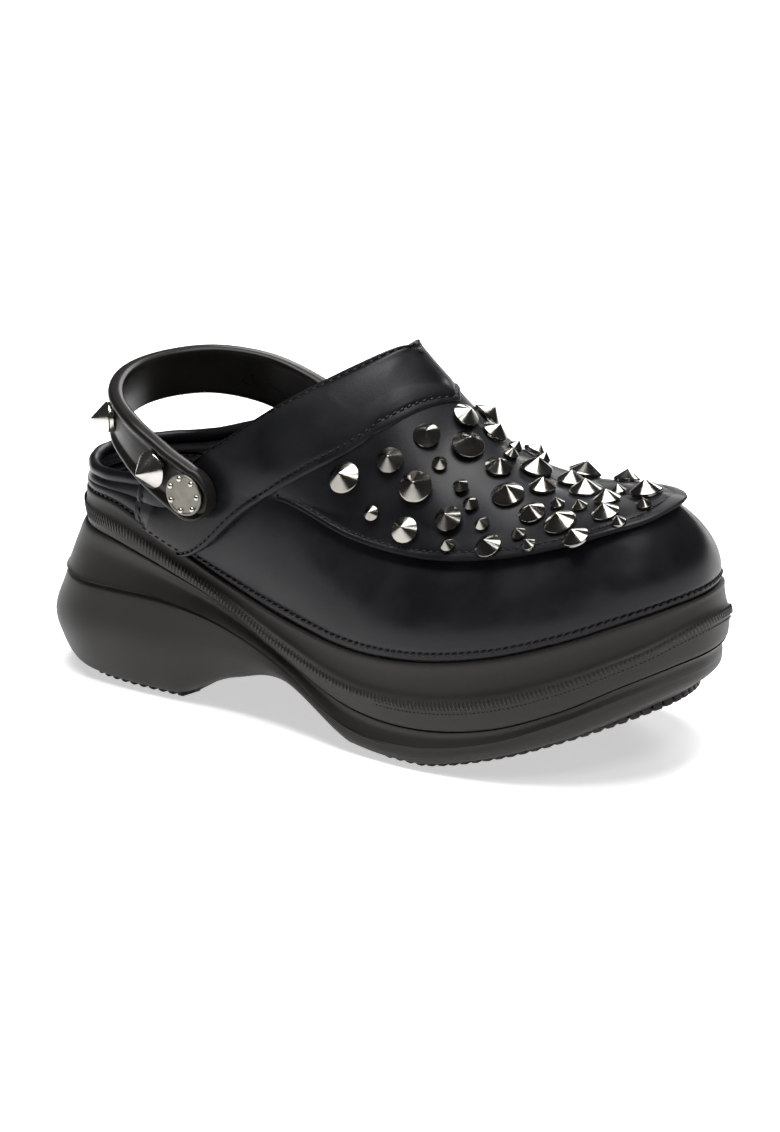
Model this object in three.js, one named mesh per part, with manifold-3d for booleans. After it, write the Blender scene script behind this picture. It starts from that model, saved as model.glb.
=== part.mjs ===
// Studded clog, right foot, standing empty on its platform sole.
// Millimetres. +X runs from heel to toe, +Y to the inner side of the foot, +Z up.
import * as THREE from 'three';
import { mergeVertices } from 'three/addons/utils/BufferGeometryUtils.js';
import Module from 'manifold-3d';

const wasm = await Module();
wasm.setup();

// Driving sizes
const LENGTH = 268;
const BALL_WIDTH = 98;
const HEEL_STACK = 70;
const INSTEP = 139;
const WALL = 2.2;
const CLEARANCE = 0.3;

// Sole
const HEEL_BULGE = 16;
const RIM_LOBE = 2.2;
const RIM_RIDGE = 4;
const RIM_LEDGE = 3;
const TREAD = 4.5;
const TREAD_INSET = 3;
const GROOVE_WIDTH = 2.6;
const GROOVE_DEPTH = 2;
const LUG_PITCH = 9;
const INSOLE = 4.5;
const INSOLE_GAP = 0.4;

// Leather pieces laid on the upper
const APRON = 2.6;
const APRON_LIP = 3;
const BAND = 3.2;
const UNDERLAP = 0.6;
const ROLL_RADIUS = 2.1;
const APRON_GAP = 0.02;
const BAND_LIFT = 0.04;

// Heel strap and its pivots
const STRAP_THICK = 4.6;
const STRAP_WIDTH = 21.5;
const STRAP_BACK = 18;
const STRAP_BEAD = 1.1;
const PIVOT_RADIUS = 2.8;
const BUTTON_RADIUS = 8;
const BUTTON_THICK = 2;
const BUTTON_EDGE = 0.6;
const BUTTON_GAP = 0.8;
const INNER_CAP_RADIUS = 6;
const INNER_CAP_THICK = 1.6;

// Metal spikes
const SPIKE_RADIUS = 6.4;
const SPIKE_HEIGHT = 6.9;
const SPIKE_COLLAR = 1.8;
const SPIKE_NECK = 6.1;
const SPIKE_POST = 2;
const SPIKE_CAP_RADIUS = 5.5;
const SPIKE_CAP_THICK = 1.2;
const CAP_SUNK = 0.2;
const STUD_RIM = 0.5;
const STUD_LIFT = 0.1;
const STUD_SIZES = {
  large: { radius: 6.1, height: 4.3 },
  middle: { radius: 5, height: 3.6 },
  small: { radius: 2.8, height: 2.7 },
};

// How finely the forms are divided
const STEPS = 2;
const WALL_LEVELS = 4;
const CROWN_LEVELS = 6;
const ROUND = 16;
const STRAP_SECTIONS = 20;
const ROLL_SIDES = 8;
const STUD_SIDES = 8;

const HALF_LENGTH = LENGTH / 2;
const HALF_BALL = BALL_WIDTH / 2;
const RISE = INSTEP - HEEL_STACK;

// Outline and heights of the sole, from the heel's back to the tip of the toe.
// along: share of half the length. lateral, medial: shares of half the ball width.
// seam, groove, strip, tread: heights as shares of the heel stack. bed: depth of the footbed
// under the seam. panel, strake, bulge, low, foot: how far the side stands out, as shares
// of the heel bulge. ridge: share of the rim's ridge.
const SOLE = [
  { along: -1.0, lateral: 0, medial: 0, seam: 1.014, groove: 0.821, strip: 0.54,
    tread: 0, bed: 0.13, panel: 0.38, strake: 0.68, bulge: 1.0, low: 0.76, foot: 0.28, ridge: 0.35 },
  { along: -0.963, lateral: 0.29, medial: 0.29, seam: 1.02, groove: 0.826, strip: 0.54,
    tread: 0, bed: 0.13, panel: 0.38, strake: 0.68, bulge: 1.0, low: 0.76, foot: 0.28, ridge: 0.35 },
  { along: -0.881, lateral: 0.52, medial: 0.52, seam: 1.03, groove: 0.833, strip: 0.55,
    tread: 0, bed: 0.13, panel: 0.28, strake: 0.56, bulge: 0.82, low: 0.62, foot: 0.2, ridge: 0.4 },
  { along: -0.75, lateral: 0.647, medial: 0.64, seam: 1.016, groove: 0.814, strip: 0.564,
    tread: 0, bed: 0.12, panel: 0.13, strake: 0.38, bulge: 0.56, low: 0.44, foot: 0.06, ridge: 0.5 },
  { along: -0.567, lateral: 0.71, medial: 0.7, seam: 0.886, groove: 0.731, strip: 0.564,
    tread: 0, bed: 0.09, panel: 0.06, strake: 0.26, bulge: 0.4, low: 0.3, foot: -0.06, ridge: 0.6 },
  { along: -0.358, lateral: 0.755, medial: 0.715, seam: 0.736, groove: 0.607, strip: 0.504,
    tread: 0.13, bed: 0.05, panel: 0.06, strake: 0.25, bulge: 0.3, low: 0.2, foot: -0.1, ridge: 0.8 },
  { along: -0.142, lateral: 0.83, medial: 0.735, seam: 0.621, groove: 0.42, strip: 0.37,
    tread: 0.21, bed: 0.03, panel: 0.08, strake: 0.25, bulge: 0.28, low: 0.18, foot: -0.06, ridge: 1.0 },
  { along: 0.097, lateral: 0.94, medial: 0.84, seam: 0.563, groove: 0.257, strip: 0.15,
    tread: 0, bed: 0.03, panel: 0.1, strake: 0.22, bulge: 0.22, low: 0.12, foot: -0.1, ridge: 1.0 },
  { along: 0.328, lateral: 1.0, medial: 0.95, seam: 0.589, groove: 0.229, strip: 0.13,
    tread: 0, bed: 0.04, panel: 0.1, strake: 0.19, bulge: 0.19, low: 0.06, foot: -0.13, ridge: 1.0 },
  { along: 0.552, lateral: 0.955, medial: 1.0, seam: 0.671, groove: 0.293, strip: 0.22,
    tread: 0.1, bed: 0.05, panel: 0.1, strake: 0.16, bulge: 0.16, low: 0.03, foot: -0.19, ridge: 1.0 },
  { along: 0.739, lateral: 0.806, medial: 0.93, seam: 0.781, groove: 0.42, strip: 0.36,
    tread: 0.225, bed: 0.07, panel: 0.06, strake: 0.12, bulge: 0.1, low: 0, foot: -0.25, ridge: 0.9 },
  { along: 0.885, lateral: 0.565, medial: 0.73, seam: 0.886, groove: 0.56, strip: 0.49,
    tread: 0.33, bed: 0.09, panel: 0.03, strake: 0.06, bulge: 0.03, low: -0.1, foot: -0.4, ridge: 0.8 },
  { along: 0.97, lateral: 0.27, medial: 0.43, seam: 0.94, groove: 0.63, strip: 0.55,
    tread: 0.385, bed: 0.1, panel: 0, strake: 0, bulge: -0.03, low: -0.18, foot: -0.5, ridge: 0.7 },
  { along: 1.004, lateral: -0.07, medial: 0.07, seam: 0.957, groove: 0.65, strip: 0.57,
    tread: 0.4, bed: 0.1, panel: 0, strake: 0, bulge: -0.06, low: -0.22, foot: -0.55, ridge: 0.7 },
];

// Shape of the upper over the same stations, one table for each side.
// edge: where the wall turns into the top of the foot. All along values are shares of half
// the length and side values of half the ball width. A rise is the height over the seam at
// the same station, as a share of how far the instep stands over the heel stack.
// bulge, crown: how far wall and top swell from a straight line, shares of half the ball width.
const LATERAL = [
  { edgeAlong: -1.0, edgeSide: 0, edgeRise: 0.051, bulge: 0.01, crown: 0 },
  { edgeAlong: -0.964, edgeSide: 0.29, edgeRise: 0.047, bulge: 0.01, crown: 0 },
  { edgeAlong: -0.881, edgeSide: 0.515, edgeRise: 0.049, bulge: 0.02, crown: 0.01 },
  { edgeAlong: -0.748, edgeSide: 0.642, edgeRise: 0.077, bulge: 0.02, crown: 0.01 },
  { edgeAlong: -0.567, edgeSide: 0.706, edgeRise: 0.203, bulge: 0.03, crown: 0.02 },
  { edgeAlong: -0.36, edgeSide: 0.765, edgeRise: 0.462, bulge: 0.05, crown: 0.03 },
  { edgeAlong: -0.157, edgeSide: 0.775, edgeRise: 0.659, bulge: 0.08, crown: 0.11 },
  { edgeAlong: 0.09, edgeSide: 0.765, edgeRise: 0.573, bulge: 0.11, crown: 0.15 },
  { edgeAlong: 0.321, edgeSide: 0.735, edgeRise: 0.514, bulge: 0.13, crown: 0.14 },
  { edgeAlong: 0.537, edgeSide: 0.675, edgeRise: 0.49, bulge: 0.13, crown: 0.11 },
  { edgeAlong: 0.7, edgeSide: 0.572, edgeRise: 0.467, bulge: 0.13, crown: 0.08 },
  { edgeAlong: 0.82, edgeSide: 0.43, edgeRise: 0.447, bulge: 0.12, crown: 0.05 },
  { edgeAlong: 0.888, edgeSide: 0.225, edgeRise: 0.436, bulge: 0.11, crown: 0.03 },
  { edgeAlong: 0.91, edgeSide: -0.06, edgeRise: 0.455, bulge: 0.11, crown: 0.02 },
];
const MEDIAL = [
  { edgeAlong: -1.0, edgeSide: 0, edgeRise: 0.051, bulge: 0.01, crown: 0 },
  { edgeAlong: -0.964, edgeSide: 0.29, edgeRise: 0.047, bulge: 0.01, crown: 0 },
  { edgeAlong: -0.881, edgeSide: 0.515, edgeRise: 0.049, bulge: 0.02, crown: 0.01 },
  { edgeAlong: -0.748, edgeSide: 0.635, edgeRise: 0.091, bulge: 0.02, crown: 0.01 },
  { edgeAlong: -0.567, edgeSide: 0.7, edgeRise: 0.259, bulge: 0.03, crown: 0.02 },
  { edgeAlong: -0.36, edgeSide: 0.73, edgeRise: 0.553, bulge: 0.05, crown: 0.03 },
  { edgeAlong: -0.157, edgeSide: 0.73, edgeRise: 0.76, bulge: 0.06, crown: 0.08 },
  { edgeAlong: 0.09, edgeSide: 0.72, edgeRise: 0.718, bulge: 0.09, crown: 0.09 },
  { edgeAlong: 0.321, edgeSide: 0.695, edgeRise: 0.647, bulge: 0.12, crown: 0.07 },
  { edgeAlong: 0.537, edgeSide: 0.622, edgeRise: 0.594, bulge: 0.13, crown: 0.05 },
  { edgeAlong: 0.7, edgeSide: 0.52, edgeRise: 0.547, bulge: 0.13, crown: 0.045 },
  { edgeAlong: 0.82, edgeSide: 0.357, edgeRise: 0.491, bulge: 0.12, crown: 0.035 },
  { edgeAlong: 0.884, edgeSide: 0.205, edgeRise: 0.463, bulge: 0.11, crown: 0.03 },
  { edgeAlong: 0.91, edgeSide: 0.06, edgeRise: 0.455, bulge: 0.11, crown: 0.02 },
];

// The foot opening's edge, from the heel's back forward to the ridge of the instep, with
// its rise on the outer and the inner side
const TOPLINE = [
  { along: -0.993, lateral: 0, medial: 0, outer: 0.101, inner: 0.101 },
  { along: -0.957, lateral: 0.28, medial: 0.28, outer: 0.099, inner: 0.099 },
  { along: -0.877, lateral: 0.5, medial: 0.5, outer: 0.099, inner: 0.099 },
  { along: -0.746, lateral: 0.628, medial: 0.62, outer: 0.136, inner: 0.15 },
  { along: -0.563, lateral: 0.684, medial: 0.68, outer: 0.337, inner: 0.407 },
  { along: -0.347, lateral: 0.72, medial: 0.69, outer: 0.796, inner: 0.83 },
  { along: -0.142, lateral: 0.42, medial: 0.47, outer: 1.17, inner: 1.14 },
  { along: 0.06, lateral: -0.1, medial: 0.1, outer: 1.455, inner: 1.455 },
];

// The spine of the vamp, from the ridge of the instep to where the toe's sections fan out
const SPINE = [
  { along: 0.06, side: 0.1, rise: 1.455 },
  { along: 0.3, side: 0.1, rise: 0.984 },
  { along: 0.507, side: 0.09, rise: 0.729 },
  { along: 0.657, side: 0.08, rise: 0.584 },
  { along: 0.746, side: 0.07, rise: 0.491 },
  { along: 0.81, side: 0.065, rise: 0.457 },
  { along: 0.85, side: 0.06, rise: 0.459 },
];

// Front edge of the collar band: station along the sole, level up the upper
const BAND_FRONT = [
  { station: 4.5, level: 0 },
  { station: 5.0, level: 0.72 },
  { station: 5.5, level: 0.92 },
  { station: 6.0, level: 1.08 },
  { station: 6.5, level: 1.28 },
  { station: 7.0, level: 1.52 },
  { station: 7.5, level: 2.0 },
];
const BAND_REAR = 3.5;
const APRON_REAR = 6.0;

// Middle line of the heel strap between its pivots. Its rise is over the heel stack.
const STRAP = [
  { along: -0.532, side: -0.87, rise: 0.327 },
  { along: -0.652, side: -0.785, rise: 0.433 },
  { along: -0.771, side: -0.56, rise: 0.505 },
  { along: -0.836, side: -0.27, rise: 0.543 },
  { along: -0.858, side: 0.04, rise: 0.554 },
  { along: -0.829, side: 0.34, rise: 0.558 },
  { along: -0.755, side: 0.61, rise: 0.548 },
  { along: -0.637, side: 0.82, rise: 0.491 },
  { along: -0.517, side: 0.89, rise: 0.404 },
];
const PIVOTS = [
  { name: 'lateral', along: -0.43, rise: 0.251, sign: -1 },
  { name: 'medial', along: -0.407, rise: 0.305, sign: 1 },
];
// Spikes on the strap: shares of its length from the lateral pivot, and of the spike's size
const STRAP_SPIKES = [
  { share: 0.146, size: 1.09 },
  { share: 0.33, size: 0.92 },
  { share: 0.67, size: 0.92 },
  { share: 0.854, size: 1.09 },
];

// Studs on the apron
const STUDS = [
  { along: 0.05, side: -0.7, size: 'large' },
  { along: 0.15, side: -0.53, size: 'middle' },
  { along: 0.21, side: -0.29, size: 'middle' },
  { along: 0.3, side: -0.13, size: 'large' },
  { along: 0.25, side: 0.04, size: 'middle' },
  { along: 0.31, side: 0.17, size: 'middle' },
  { along: 0.37, side: 0.21, size: 'small' },
  { along: 0.39, side: 0.07, size: 'small' },
  { along: 0.14, side: -0.74, size: 'small' },
  { along: 0.27, side: -0.37, size: 'small' },
  { along: 0.24, side: -0.56, size: 'large' },
  { along: 0.35, side: -0.42, size: 'small' },
  { along: 0.4, side: -0.13, size: 'middle' },
  { along: 0.47, side: 0.08, size: 'large' },
  { along: 0.54, side: -0.12, size: 'middle' },
  { along: 0.48, side: -0.33, size: 'large' },
  { along: 0.57, side: 0.13, size: 'middle' },
  { along: 0.65, side: 0.0, size: 'large' },
  { along: 0.4, side: -0.49, size: 'small' },
  { along: 0.36, side: -0.62, size: 'middle' },
  { along: 0.25, side: -0.75, size: 'middle' },
  { along: 0.46, side: -0.58, size: 'small' },
  { along: 0.39, side: -0.75, size: 'small' },
  { along: 0.51, side: -0.71, size: 'middle' },
  { along: 0.58, side: -0.59, size: 'small' },
  { along: 0.63, side: -0.67, size: 'small' },
  { along: 0.58, side: -0.42, size: 'middle' },
  { along: 0.63, side: -0.29, size: 'small' },
  { along: 0.68, side: -0.46, size: 'large' },
  { along: 0.76, side: -0.59, size: 'middle' },
  { along: 0.7, side: -0.28, size: 'small' },
  { along: 0.75, side: -0.13, size: 'middle' },
  { along: 0.79, side: -0.32, size: 'middle' },
  { along: 0.74, side: 0.07, size: 'small' },
  { along: 0.83, side: 0.06, size: 'large' },
  { along: 0.87, side: -0.15, size: 'small' },
  { along: 0.85, side: -0.4, size: 'small' },
  { along: 0.31, side: 0.62, size: 'small' },
  { along: 0.22, side: 0.62, size: 'small' },
  { along: 0.23, side: 0.4, size: 'large' },
  { along: 0.36, side: 0.5, size: 'middle' },
  { along: 0.43, side: 0.33, size: 'small' },
  { along: 0.5, side: 0.55, size: 'middle' },
  { along: 0.56, side: 0.36, size: 'large' },
  { along: 0.68, side: 0.42, size: 'middle' },
];

const LAST = SOLE.length - 1;
const RIDGE = TOPLINE.length - 1;
const STATIONS = 2 * LAST * STEPS;

const leather = new THREE.MeshStandardMaterial({ color: 0x1b1c1f, roughness: 0.5, metalness: 0 });
const foam = new THREE.MeshStandardMaterial({ color: 0x1d1c19, roughness: 0.75, metalness: 0 });
const rubber = new THREE.MeshStandardMaterial({ color: 0x191815, roughness: 0.7, metalness: 0 });
const lining = new THREE.MeshStandardMaterial({ color: 0x3a3b3e, roughness: 0.8, metalness: 0 });
const gunmetal = new THREE.MeshStandardMaterial({ color: 0x6b6a67, roughness: 0.25, metalness: 1 });
const nickel = new THREE.MeshStandardMaterial({ color: 0x9a9490, roughness: 0.35, metalness: 1 });

const clog = new THREE.Group();

// Tables round the whole shoe: heel, outer side, toe, inner side
function roundTable(lateralRows, medialRows) {
  return [...lateralRows, ...medialRows.slice(1, -1).reverse()];
}

function smoothLoop(points) {
  const curve = new THREE.CatmullRomCurve3(points, true, 'catmullrom', 0.5);
  return (position) => curve.getPoint(THREE.MathUtils.euclideanModulo(position / points.length, 1));
}

function smoothLine(points) {
  const curve = new THREE.CatmullRomCurve3(points, false, 'catmullrom', 0.5);
  return (position) => curve.getPoint(THREE.MathUtils.clamp(position / (points.length - 1), 0, 1));
}

// A column of the sole's table as a smooth function of the station
function soleColumn(key, scale) {
  const rows = roundTable(SOLE, SOLE);
  const curve = smoothLoop(rows.map((row) => new THREE.Vector3(row[key] * scale, 0, 0)));
  return (station) => curve(station).x;
}

const outline = smoothLoop([
  ...SOLE.map((row) => new THREE.Vector3(row.along * HALF_LENGTH, -row.lateral * HALF_BALL, 0)),
  ...SOLE.slice(1, -1).reverse().map((row) => new THREE.Vector3(
    row.along * HALF_LENGTH, row.medial * HALF_BALL, 0)),
]);
const seamHeight = soleColumn('seam', HEEL_STACK);
const grooveHeight = soleColumn('groove', HEEL_STACK);
const stripHeight = soleColumn('strip', HEEL_STACK);
const rawTread = soleColumn('tread', HEEL_STACK);
const treadHeight = (station) => Math.max(rawTread(station), 0);
const bedDepth = soleColumn('bed', HEEL_STACK);
const panelOut = soleColumn('panel', HEEL_BULGE);
const strakeOut = soleColumn('strake', HEEL_BULGE);
const bulgeOut = soleColumn('bulge', HEEL_BULGE);
const lowOut = soleColumn('low', HEEL_BULGE);
const footOut = soleColumn('foot', HEEL_BULGE);
const ridgeOut = soleColumn('ridge', RIM_RIDGE);

// Outward direction of the outline in plan
function outward(station) {
  const step = 0.05;
  const along = outline(station + step).sub(outline(station - step));
  return new THREE.Vector3(along.y, -along.x, 0).normalize();
}

function ringPoint(station, out, height) {
  const point = outline(station).addScaledVector(outward(station), out);
  point.z = height;
  return point;
}

// The station on the outer side at a given distance along the shoe
function stationAt(x) {
  let low = 0;
  let high = LAST;
  for (let i = 0; i < 30; i += 1) {
    const middle = (low + high) / 2;
    if (outline(middle).x < x) {
      low = middle;
    } else {
      high = middle;
    }
  }
  return low;
}

// A point of the underside, whose height follows its own distance along the shoe
function floorPoint(station, out, above) {
  const point = ringPoint(station, out, 0);
  point.z = treadHeight(stationAt(point.x)) + above;
  return point;
}

// Closed bodies from rings. Corners nearer than WELD are one corner.
const WELD = 1e-3;
class Skin {
  constructor() {
    this.corners = [];
  }

  triangle(a, b, c) {
    const edges = [a.distanceTo(b), b.distanceTo(c), c.distanceTo(a)];
    if (Math.min(...edges) > WELD) {
      this.corners.push(a, b, c);
    }
  }

  quad(a, b, c, d) {
    if (a.distanceTo(c) <= b.distanceTo(d)) {
      this.triangle(a, b, c);
      this.triangle(a, c, d);
    } else {
      this.triangle(a, b, d);
      this.triangle(b, c, d);
    }
  }

  // Side between two rings of equally many points, the first one lower
  band(lower, upper, closed = true) {
    const count = closed ? lower.length : lower.length - 1;
    for (let i = 0; i < count; i += 1) {
      const next = (i + 1) % lower.length;
      this.quad(lower[i], lower[next], upper[next], upper[i]);
    }
  }

  // Face across a ring, from its outer side to its inner side
  ladder(ring, up, last = ring.length / 2) {
    for (let i = 0; i < last; i += 1) {
      const a = ring[i];
      const b = ring[i + 1];
      const c = ring[ring.length - i - 1];
      const d = ring[(ring.length - i) % ring.length];
      if (up) {
        this.quad(a, b, c, d);
      } else {
        this.quad(a, d, c, b);
      }
    }
  }

  geometry() {
    const geometry = new THREE.BufferGeometry().setFromPoints(this.corners);
    const indices = Array.from(this.corners.keys());
    geometry.setIndex(indices);
    return mergeVertices(geometry, WELD);
  }
}

function solidOf(geometry) {
  const bare = geometry.clone();
  bare.deleteAttribute('normal');
  bare.deleteAttribute('uv');
  const merged = mergeVertices(bare, WELD);
  const index = Array.from(merged.index.array);
  const kept = [];
  for (let i = 0; i < index.length; i += 3) {
    const [a, b, c] = index.slice(i, i + 3);
    if (a !== b && b !== c && c !== a) {
      kept.push(a, b, c);
    }
  }
  return new wasm.Manifold(new wasm.Mesh({
    numProp: 3,
    vertProperties: new Float32Array(merged.attributes.position.array),
    triVerts: new Uint32Array(kept),
  }));
}

function geometryOf(solid) {
  const mesh = solid.getMesh();
  const geometry = new THREE.BufferGeometry();
  geometry.setAttribute('position', new THREE.BufferAttribute(new Float32Array(mesh.vertProperties), 3));
  geometry.setIndex(Array.from(mesh.triVerts));
  return geometry;
}

function addMesh(name, geometry, material) {
  const mesh = new THREE.Mesh(geometry, material);
  mesh.name = name;
  clog.add(mesh);
  return mesh;
}

const stations = Array.from({ length: STATIONS }, (_, i) => i / STEPS);
const ringOf = (out, height) => stations.map((s) => ringPoint(s, out(s), height(s)));
const mix = THREE.MathUtils.lerp;

// Side of the midsole from its lower edge to the seam. share: how far up each ring lies
// between two of the sole's heights. out: the column it stands out by, and lean: how far
// it leans from there to the column named after it.
const midsoleFloor = (s) => treadHeight(s) + TREAD;
const rimLobe = () => RIM_LOBE;
const rimRoot = () => 0;
const MIDSOLE_SIDE = [
  { from: midsoleFloor, to: stripHeight, share: 0.2, out: lowOut, next: lowOut, lean: 0 },
  { from: midsoleFloor, to: stripHeight, share: 0.55, out: bulgeOut, next: bulgeOut, lean: 0 },
  { from: midsoleFloor, to: stripHeight, share: 0.95, out: strakeOut, next: strakeOut, lean: 0 },
  { from: stripHeight, to: grooveHeight, share: 0.12, out: strakeOut, next: panelOut, lean: 0.7 },
  { from: stripHeight, to: grooveHeight, share: 0.6, out: panelOut, next: panelOut, lean: 0 },
  { from: grooveHeight, to: seamHeight, share: 0, out: rimRoot, next: rimLobe, lean: 0.3 },
  { from: grooveHeight, to: seamHeight, share: 0.3, out: ridgeOut, next: ridgeOut, lean: 0 },
  { from: grooveHeight, to: seamHeight, share: 0.52, out: ridgeOut, next: ridgeOut, lean: 0 },
  { from: grooveHeight, to: seamHeight, share: 0.8, out: rimLobe, next: rimLobe, lean: 0 },
  { from: grooveHeight, to: seamHeight, share: 1, out: rimRoot, next: rimRoot, lean: 0 },
];
const BED_EDGE = -WALL - RIM_LEDGE;

function midsole() {
  const levels = [
    stations.map((s) => floorPoint(s, footOut(s), TREAD)),
    ...MIDSOLE_SIDE.map(({ from, to, share, out, next, lean }) => ringOf(
      (s) => mix(out(s), next(s), lean), (s) => mix(from(s), to(s), share))),
    ringOf(() => BED_EDGE, seamHeight),
    ringOf(() => BED_EDGE - CLEARANCE, (s) => seamHeight(s) - bedDepth(s)),
  ];
  const skin = new Skin();
  skin.ladder(levels[0], false);
  for (let i = 1; i < levels.length; i += 1) {
    skin.band(levels[i - 1], levels[i]);
  }
  skin.ladder(levels[levels.length - 1], true);
  return skin.geometry();
}

function insole() {
  const out = () => BED_EDGE - CLEARANCE - INSOLE_GAP;
  const floor = (s) => seamHeight(s) - bedDepth(s) + CLEARANCE;
  const lower = ringOf(out, floor);
  const upper = ringOf(out, (s) => floor(s) + INSOLE);
  const skin = new Skin();
  skin.ladder(lower, false);
  skin.band(lower, upper);
  skin.ladder(upper, true);
  return skin.geometry();
}

// Treads: plates under heel and forefoot, with slanted grooves cut in from their sides
const HEEL_TREAD_END = 4.5;
const FORE_TREAD_START = 7;
const CENTRE_STRIP = 0.36;
const GROOVE_SLANT = 0.22;
const SLOPE_STEP = 0.3;

function treadPlate(places) {
  const lower = places.map((s) => floorPoint(s, footOut(s) - 1.5 * TREAD_INSET, 0));
  const upper = places.map((s) => floorPoint(s, footOut(s) - TREAD_INSET, TREAD));
  const last = Math.floor(places.length / 2);
  const skin = new Skin();
  skin.ladder(lower, false, last);
  skin.band(lower, upper);
  skin.ladder(upper, true, last);
  return solidOf(skin.geometry());
}

function placesFrom(tip, reach) {
  const count = Math.round(reach * STEPS);
  const ahead = Array.from({ length: count + 1 }, (_, i) => tip + i / STEPS);
  const behind = Array.from({ length: count }, (_, i) => tip - (count - i) / STEPS);
  return [...ahead, ...behind].map((s) => (s + 2 * LAST) % (2 * LAST));
}

function sideGrooves(from, to) {
  const cutters = [];
  const first = outline(from).x;
  const reach = outline(to).x - first;
  const count = Math.floor(reach / LUG_PITCH);
  for (let i = 0; i < count; i += 1) {
    const x = first + (i + 0.5) * LUG_PITCH;
    const place = stationAt(x);
    const slope = (treadHeight(place + SLOPE_STEP) - treadHeight(place - SLOPE_STEP))
      / (outline(place + SLOPE_STEP).x - outline(place - SLOPE_STEP).x);
    for (const side of [-1, 1]) {
      const box = new THREE.BoxGeometry(GROOVE_WIDTH, HALF_BALL, 2 * GROOVE_DEPTH);
      const edge = side < 0 ? outline(place).y : outline(mirrored(place)).y;
      const middle = edge * CENTRE_STRIP + side * HALF_BALL / 2;
      box.rotateZ(side * GROOVE_SLANT).rotateY(-Math.atan(slope)).translate(x, middle, treadHeight(place));
      cutters.push(solidOf(box));
    }
  }
  return wasm.Manifold.union(cutters);
}

// The upper's surface: level 0 at the seam, 1 where the wall turns, 2 at topline or spine
const overSeam = (row, rise) => SOLE[row].seam * HEEL_STACK + rise * RISE;
const edgePoints = smoothLoop([
  ...LATERAL.map((row, i) => new THREE.Vector3(
    row.edgeAlong * HALF_LENGTH, -row.edgeSide * HALF_BALL, overSeam(i, row.edgeRise))),
  ...MEDIAL.map((row, i) => new THREE.Vector3(
    row.edgeAlong * HALF_LENGTH, row.edgeSide * HALF_BALL, overSeam(i, row.edgeRise)))
    .slice(1, -1).reverse(),
]);
const swell = smoothLoop(roundTable(LATERAL, MEDIAL).map(
  (row) => new THREE.Vector3(row.bulge * HALF_BALL, row.crown * HALF_BALL, 0)));
const topline = smoothLoop([
  ...TOPLINE.map((row, i) => new THREE.Vector3(
    row.along * HALF_LENGTH, -row.lateral * HALF_BALL, overSeam(i, row.outer))),
  ...TOPLINE.map((row, i) => new THREE.Vector3(
    row.along * HALF_LENGTH, row.medial * HALF_BALL, overSeam(i, row.inner)))
    .slice(1, -1).reverse(),
]);
const spine = smoothLine(SPINE.map((row, i) => new THREE.Vector3(
  row.along * HALF_LENGTH, row.side * HALF_BALL, overSeam(RIDGE + i, row.rise))));

const rowOf = (station) => (station <= LAST ? station : 2 * LAST - station);
const mirrored = (station) => (2 * LAST - station) % (2 * LAST);

function topPoint(station) {
  const row = rowOf(station);
  if (row >= RIDGE) {
    return spine(row - RIDGE);
  }
  return topline(station <= LAST ? row : 2 * RIDGE - row);
}

function upperPoint(station, level) {
  const seam = ringPoint(station, 0, seamHeight(station) + CLEARANCE);
  const edge = edgePoints(station);
  const { x: bulge, y: crown } = swell(station);
  if (level <= 1) {
    const control = seam.clone().add(edge).multiplyScalar(0.5).addScaledVector(outward(station), 2 * bulge);
    return new THREE.QuadraticBezierCurve3(seam, control, edge).getPoint(level);
  }
  const top = topPoint(station);
  const chord = top.clone().sub(edge);
  const flat = Math.hypot(chord.x, chord.y);
  const rise = new THREE.Vector3(-chord.x * chord.z / flat, -chord.y * chord.z / flat, flat).normalize();
  const control = edge.clone().add(top).multiplyScalar(0.5).addScaledVector(rise, 2 * crown);
  return new THREE.QuadraticBezierCurve3(edge, control, top).getPoint(level - 1);
}

function sideNormal(station, level) {
  const alongStep = 0.04;
  const levelStep = 0.02;
  const low = level < 1 ? Math.max(level - levelStep, 0) : Math.max(level - levelStep, 1);
  const high = level < 1 ? Math.min(level + levelStep, 1) : Math.min(level + levelStep, 2);
  const middle = (low + high) / 2;
  const along = upperPoint(station + alongStep, middle).sub(upperPoint(station - alongStep, middle));
  const up = upperPoint(station, high).sub(upperPoint(station, low));
  return along.cross(up).normalize();
}

function upperNormal(station, level) {
  const normal = sideNormal(station, level);
  if (level === 1) {
    normal.add(sideNormal(station, 1 - WELD)).normalize();
  }
  if (level === 2 && rowOf(station) >= RIDGE) {
    normal.add(sideNormal(mirrored(station), level)).normalize();
  }
  return normal;
}

// A point over the upper's surface. Both sides share the points of the spine.
function lifted(station, level, lift) {
  const place = level === 2 && rowOf(station) >= RIDGE ? rowOf(station) : station;
  return upperPoint(place, level).addScaledVector(upperNormal(place, level), lift);
}

const upperLevels = [
  ...Array.from({ length: WALL_LEVELS }, (_, i) => i / WALL_LEVELS),
  ...Array.from({ length: CROWN_LEVELS + 1 }, (_, i) => 1 + i / CROWN_LEVELS),
];

// Stations behind the ridge, where the upper is open on top
const openStations = stations.filter((s) => rowOf(s) <= RIDGE);
const inOrder = (places) => [
  ...places.filter((s) => s >= LAST),
  ...places.filter((s) => s < LAST),
];

// Outer form of the whole upper, filled, for cutting what lies on it
function hull(lift) {
  const skin = new Skin();
  const rings = upperLevels.map((level) => stations.map((s) => lifted(s, level, lift)));
  const below = rings[0].map((point) => point.clone().setZ(point.z - RIM_LEDGE));
  skin.ladder(below, false);
  skin.band(below, rings[0]);
  for (let i = 1; i < rings.length; i += 1) {
    skin.band(rings[i - 1], rings[i]);
  }
  const rear = [
    ...openStations.filter((s) => s <= LAST),
    ...openStations.filter((s) => s > LAST && rowOf(s) < RIDGE),
  ].map((s) => lifted(s, 2, lift));
  skin.ladder(rear, true);
  return solidOf(skin.geometry());
}

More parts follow.
